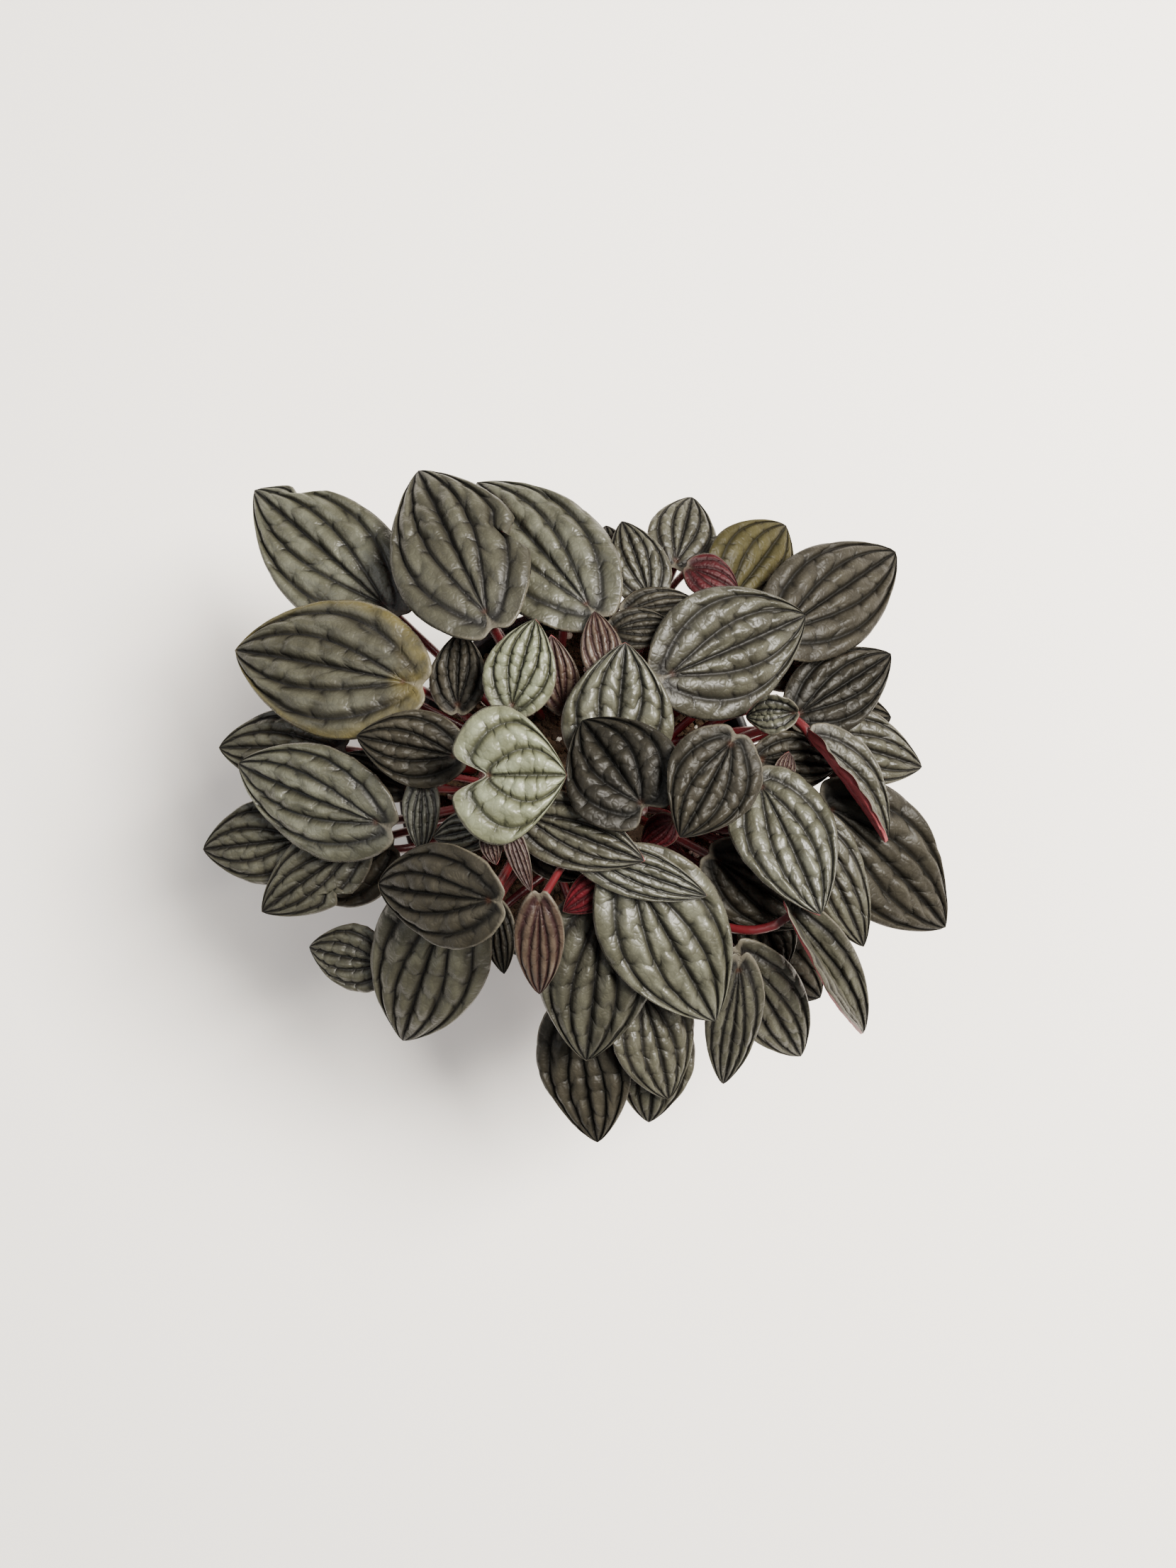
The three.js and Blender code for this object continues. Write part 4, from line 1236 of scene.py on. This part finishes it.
def pot_profile(wall):
    """The pot's outline from the middle of its base, up the outside, over the lip and down the
    inside to the middle of its floor."""
    collar = POT_TOP_RADIUS - COLLAR_STEP
    neck = collar - NECK_TAPER
    shoulder = POT_HEIGHT - COLLAR_HEIGHT
    return [
        (0, 0),
        (POT_BASE_RADIUS - 9, 0),
        (POT_BASE_RADIUS - 0.8, 0),
        (POT_BASE_RADIUS, 0.8),
        ((POT_BASE_RADIUS + neck) / 2, shoulder / 2),
        (neck, shoulder - 0.4),
        (collar - 0.8, shoulder),
        (POT_TOP_RADIUS - 1.4, shoulder + 1.2),
        (POT_TOP_RADIUS - 1, shoulder + 1.7),
        (POT_TOP_RADIUS - 0.35, POT_HEIGHT - 2.6),
        (POT_TOP_RADIUS, POT_HEIGHT - 2.2),
        (POT_TOP_RADIUS, POT_HEIGHT - 0.8),
        (POT_TOP_RADIUS - 0.25, POT_HEIGHT - 0.25),
        (POT_TOP_RADIUS - 0.9, POT_HEIGHT),
        (POT_TOP_RADIUS - wall - 0.3, POT_HEIGHT),
        (POT_TOP_RADIUS - wall - 0.8, POT_HEIGHT - 0.4),
        (POT_TOP_RADIUS - wall - 1.6, shoulder + 3),
        (neck - wall, shoulder - 1),
        (POT_BASE_RADIUS + FLOOR_TAPER - wall, POT_FLOOR),
        (0, POT_FLOOR),
    ]


DRAIN_INPUTS = {
    "count": ("Hole Count",),
    "length": ("Hole Radius", "Hole Circle", "Depth"),
    "material": ("Plastic",),
}


def drain_tree():
    """The tree that bores a ring of drain holes through the pot's floor."""
    tree, given = geometry_tree("Drain holes", DRAIN_INPUTS)
    ring = put(tree, "GeometryNodeMeshCircle", {
        "Vertices": given["Hole Count"],
        "Radius": given["Hole Circle"],
    })
    bore = put(tree, "GeometryNodeMeshCylinder", {
        "Vertices": 32,
        "Radius": given["Hole Radius"],
        "Depth": given["Depth"],
    })
    bores = put(tree, "GeometryNodeInstanceOnPoints", {
        "Points": out(ring),
        "Instance": out(bore, "Mesh"),
    })
    real = put(tree, "GeometryNodeRealizeInstances", {"Geometry": out(bores)})
    cut = put(tree, "GeometryNodeMeshBoolean", {
        "Mesh 1": given["Geometry"],
        "Mesh 2": out(real),
    }, operation="DIFFERENCE", solver="EXACT")
    end_tree(tree, out(cut), [(given["Plastic"], None)])
    return tree


def plastic_material(colour):
    """Matt moulded plastic with a fine grain and faint scuffs."""
    material, tree, shader = surface("Moulded plastic", colour, 0.5)
    coordinates = spots(tree)
    grain = ripples(coordinates, 2600.0, 0.0, 2.0)
    scuffs = ripples(coordinates, 60.0, 3.0, 5.0)
    shown = blended(scuffs.ramp(0.52, 0.8) * 0.3, colour, srgb("55534f"))
    coloured(tree, shader, shown)
    rough = scuffs.ramp(0.3, 0.7) * 0.16 + 0.42
    tree.links.new(rough.socket, shader.inputs["Roughness"])
    raised(tree, shader, grain, 0.0001, 0.3)
    return material


class PEPEROMIA_OT_add_pot(bpy.types.Operator):
    """Turn the nursery pot and bore its drain holes"""

    bl_idname = "peperomia.add_pot"
    bl_label = "Add Pot"

    def execute(self, context):
        pot = context.scene.peperomia_pot
        shell = turned("Pot shell", pot_profile(pot.wall / MM), 120)
        mesh = grown(drain_tree(), {
            "Hole Count": pot.drain_count,
            "Hole Radius": pot.drain_radius,
            "Hole Circle": pot.drain_circle,
            "Depth": 4 * POT_FLOOR * MM,
            "Plastic": plastic_material(tuple(pot.colour)),
        }, shell)
        mesh.shade_smooth()
        mesh.set_sharp_from_angle(angle=math.radians(40))
        one_piece("nursery_pot", [mesh], "pot")
        return {"FINISHED"}


# Soil

class PeperomiaSoilSettings(bpy.types.PropertyGroup):
    """Sizes and colours of the soil"""

    crumb_size: size_setting("Crumb Size", "Radius of a middling crumb", 0.9, 0.2, 3)
    crumb_density: number_setting(
        "Crumbs", "Crumbs to a square metre of soil", 320000.0, 800000.0
    )
    grain_density: number_setting(
        "White Grains", "White grains to a square metre of soil", 9000.0, 50000.0
    )
    colour: colour_setting("Soil Colour", "Colour of the damp peat", "33261c")


def soil_body():
    """The filling of the pot, with a low uneven top."""
    shoulder = POT_HEIGHT - COLLAR_HEIGHT - 1
    low = POT_BASE_RADIUS + FLOOR_TAPER - POT_WALL - SOIL_GAP
    high = POT_TOP_RADIUS - COLLAR_STEP - NECK_TAPER - POT_WALL - SOIL_GAP
    bottom = POT_FLOOR + SOIL_GAP
    side = [(0, bottom), (low - 1, bottom), (low, bottom + 1), (high, shoulder)]
    rings = [(high * f, SOIL_TOP) for f in np.linspace(1, 0.03, 34)]
    profile = [*side, *rings, (0, SOIL_TOP)]
    mesh = turned("Soil body", profile, 96)
    for vertex in mesh.vertices:
        x, y, z = vertex.co / MM
        if z > SOIL_TOP - 0.01:
            flat = min(1, max(0, (high - math.hypot(x, y)) / 2))
            swell = math.sin(x * 0.31 + 1) * math.cos(y * 0.27)
            swell = 0.9 * (swell + 0.4 * math.sin(x * 0.9 - y * 0.7))
            lumps = 0.7 * noise.fractal(Vector((x, y, 4.0)) * 0.35, 0.9, 2.0, 4)
            vertex.co.z += flat * (swell + lumps) * MM
    return mesh


SOIL_INPUTS = {
    "length": ("Crumb Size",),
    "number": ("Crumb Density", "Grain Density"),
    "material": ("Peat", "White Grain"),
}


def soil_tree():
    """The tree that strews crumbs and white grains over the soil's top."""
    tree, given = geometry_tree("Strewn soil", SOIL_INPUTS)
    body = given["Geometry"]
    normal = out(tree.nodes.new("GeometryNodeInputNormal"))
    on_top = parted(normal)[2].over(0.5)
    position = out(tree.nodes.new("GeometryNodeInputPosition"))
    strewn = [body]
    for density, size, seed, name in (
        (given["Crumb Density"], given["Crumb Size"], 11, "peat"),
        (given["Grain Density"], given["Crumb Size"] * 1.3, 23, "grain"),
    ):
        ball = put(tree, "GeometryNodeMeshIcoSphere", {"Radius": size, "Subdivisions": 2})
        lumpy = put(tree, "ShaderNodeVectorMath", {
            0: position,
            3: ripples(position, 700.0, seed, 1.0) * 1.3 + 0.35,
        }, operation="SCALE")
        crumb = put(tree, "GeometryNodeSetPosition", {
            "Geometry": out(ball, "Mesh"),
            "Position": out(lumpy),
        })
        points = put(tree, "GeometryNodeDistributePointsOnFaces", {
            "Mesh": body,
            "Selection": on_top,
            "Density": density,
            "Seed": seed,
        })
        turn = put(tree, "FunctionNodeRandomValue", {
            "Max": (6.28, 6.28, 6.28),
            "Seed": seed + 1,
        }, data_type="FLOAT_VECTOR")
        grow = put(tree, "FunctionNodeRandomValue", {2: 0.35, 3: 1.25, "Seed": seed + 2})
        euler = put(tree, "FunctionNodeEulerToRotation", {"Euler": out(turn)})
        placed = put(tree, "GeometryNodeInstanceOnPoints", {
            "Points": out(points, "Points"),
            "Instance": out(crumb),
            "Rotation": out(euler),
            "Scale": out(grow, 1),
        })
        strewn.append(stored(
            out(put(tree, "GeometryNodeRealizeInstances", {"Geometry": out(placed)})),
            "white",
            name == "grain",
            "BOOLEAN",
            "FACE",
        ))
    heap = tree.nodes.new("GeometryNodeJoinGeometry")
    for part in strewn:
        tree.links.new(part.socket, heap.inputs[0])
    white = marked_by(tree, "white")
    end_tree(tree, out(heap), [(given["Peat"], None), (given["White Grain"], white)])
    return tree


def peat_material(colour):
    """Damp brown peat with paler and darker crumbs."""
    material, tree, shader = surface("Damp peat", colour, 0.9, specular=0.25)
    coordinates = spots(tree)
    crumbs = ripples(coordinates, 420.0, 0.0, 4.0)
    fine = ripples(coordinates, 1900.0, 2.0, 3.0)
    shown = blended(crumbs.ramp(0.4, 0.75) * 0.75, colour, srgb("5e4a36"))
    shown = blended(fine.ramp(0.5, 0.8) * 0.6, shown, srgb("16100b"))
    coloured(tree, shader, shown)
    raised(tree, shader, crumbs * 0.6 + fine * 0.4, 0.0006)
    return material


def white_grain_material():
    """Porous white volcanic grain."""
    colour = srgb("cfcabd")
    material, tree, shader = surface("White grain", colour, 0.85, specular=0.3)
    coordinates = spots(tree)
    pores = ripples(coordinates, 1600.0, 0.0, 3.0)
    shown = blended(pores.ramp(0.55, 0.8) * 0.6, colour, srgb("8d8371"))
    coloured(tree, shader, shown)
    raised(tree, shader, pores, 0.0003)
    return material


class PEPEROMIA_OT_add_soil(bpy.types.Operator):
    """Fill the pot with soil and strew crumbs over its top"""

    bl_idname = "peperomia.add_soil"
    bl_label = "Add Soil"

    def execute(self, context):
        soil = context.scene.peperomia_soil
        mesh = grown(soil_tree(), {
            "Crumb Size": soil.crumb_size,
            "Crumb Density": soil.crumb_density,
            "Grain Density": soil.grain_density,
            "Peat": peat_material(tuple(soil.colour)),
            "White Grain": white_grain_material(),
        }, soil_body())
        one_piece("potting_soil", [mesh], "soil")
        return {"FINISHED"}


# Stage

# The picture that the camera frames: its size and the place of the pot's axis in pixels, and its
# scale at PLANE_HEIGHT. The sensor's width is in millimetres.
PICTURE_WIDE, PICTURE_TALL = 1659, 2212
AXIS_X, AXIS_Y = 816, 1110
PIXELS_PER_MM = 5.5
SENSOR = 36

# The room, in metres: its floor, the window's soft light from the right and a weak one opposite
FLOOR_REACH = 4.0
WINDOW = {"at": (0.62, 0.3, 1.15), "size": 0.6, "colour": (1.0, 0.955, 0.88)}
FILL = {"at": (-0.9, 0.1, 1.0), "size": 1.0, "colour": (0.95, 0.97, 1.0)}
FILL_SHARE = 0.08
ROOM_COLOUR = (0.92, 0.91, 0.89, 1)


class PeperomiaStageSettings(bpy.types.PropertyGroup):
    """Floor, lights and camera"""

    floor_colour: colour_setting("Floor Colour", "Colour of the plain floor", "f3eee8")
    light_power: number_setting(
        "Light", "Power of the main soft light", 82.0, 200.0, unit="POWER"
    )
    sky_strength: number_setting(
        "Room Light", "Strength of the even light from all round", 0.4, 5.0
    )


def soft_light(name, power, at, size, colour):
    """A square area light that looks at the middle of the mound."""
    light = bpy.data.lights.new(name, "AREA")
    light.size = size
    light.energy = power
    light.color = colour
    lamp = bpy.data.objects.new(name, light)
    lamp.location = at
    aim = Vector((0, 0, PLANE_HEIGHT * MM)) - Vector(at)
    lamp.rotation_euler = aim.to_track_quat("-Z", "Y").to_euler()
    bpy.context.scene.collection.objects.link(lamp)


class PEPEROMIA_OT_add_stage(bpy.types.Operator):
    """Lay the floor and set up the lights and the camera"""

    bl_idname = "peperomia.add_stage"
    bl_label = "Add Stage"

    def execute(self, context):
        stage = context.scene.peperomia_stage
        mesh = bpy.data.meshes.new("Floor")
        quarters = ((-1, -1, 0), (1, -1, 0), (1, 1, 0), (-1, 1, 0))
        corners = [Vector(quarter) * FLOOR_REACH for quarter in quarters]
        mesh.from_pydata(corners, [], [(0, 1, 2, 3)])
        floor = bpy.data.objects.new("Floor", mesh)
        context.scene.collection.objects.link(floor)
        material, _, _ = surface("Floor", tuple(stage.floor_colour), 0.7, specular=0.2)
        mesh.materials.append(material)

        soft_light("Window light", stage.light_power, **WINDOW)
        soft_light("Fill light", stage.light_power * FILL_SHARE, **FILL)
        world = bpy.data.worlds.new("Room")
        world.use_nodes = True
        background = world.node_tree.nodes["Background"]
        background.inputs["Color"].default_value = ROOM_COLOUR
        background.inputs["Strength"].default_value = stage.sky_strength
        context.scene.world = world

        camera = bpy.data.cameras.new("Overhead camera")
        camera.sensor_width = SENSOR
        camera.lens = SENSOR * PIXELS_PER_MM * EYE_HEIGHT / PICTURE_TALL
        camera.shift_x = (PICTURE_WIDE / 2 - AXIS_X) / PICTURE_TALL
        camera.shift_y = (AXIS_Y - PICTURE_TALL / 2) / PICTURE_TALL
        eye = bpy.data.objects.new("Overhead camera", camera)
        eye.location = (0, 0, (PLANE_HEIGHT + EYE_HEIGHT) * MM)
        context.scene.collection.objects.link(eye)
        context.scene.camera = eye
        return {"FINISHED"}


class PEPEROMIA_PT_plant(bpy.types.Panel):
    """Lists the steps and the sizes of the potted plant"""

    bl_label = "Potted Peperomia"
    bl_idname = "PEPEROMIA_PT_plant"
    bl_space_type = "VIEW_3D"
    bl_region_type = "UI"
    bl_category = "Peperomia"

    def draw(self, context):
        for step, settings in (
            ("peperomia.add_stage", context.scene.peperomia_stage),
            ("peperomia.add_pot", context.scene.peperomia_pot),
            ("peperomia.add_soil", context.scene.peperomia_soil),
            ("peperomia.add_leaves", context.scene.peperomia_leaves),
        ):
            box = self.layout.box()
            box.operator(step)
            for name in settings.__annotations__:
                box.prop(settings, name)


SETTINGS = {
    "peperomia_stage": PeperomiaStageSettings,
    "peperomia_pot": PeperomiaPotSettings,
    "peperomia_soil": PeperomiaSoilSettings,
    "peperomia_leaves": PeperomiaLeafSettings,
}

CLASSES = (
    *SETTINGS.values(),
    PEPEROMIA_OT_add_stage,
    PEPEROMIA_OT_add_pot,
    PEPEROMIA_OT_add_soil,
    PEPEROMIA_OT_add_leaves,
    PEPEROMIA_PT_plant,
)


def register():
    for item in CLASSES:
        bpy.utils.register_class(item)
    for name, group in SETTINGS.items():
        setattr(bpy.types.Scene, name, bpy.props.PointerProperty(type=group))


def unregister():
    for name in SETTINGS:
        delattr(bpy.types.Scene, name)
    for item in reversed(CLASSES):
        bpy.utils.unregister_class(item)


def main():
    register()
    bpy.ops.peperomia.add_stage()
    bpy.ops.peperomia.add_pot()
    bpy.ops.peperomia.add_soil()
    bpy.ops.peperomia.add_leaves()


if __name__ == "__main__":
    main()
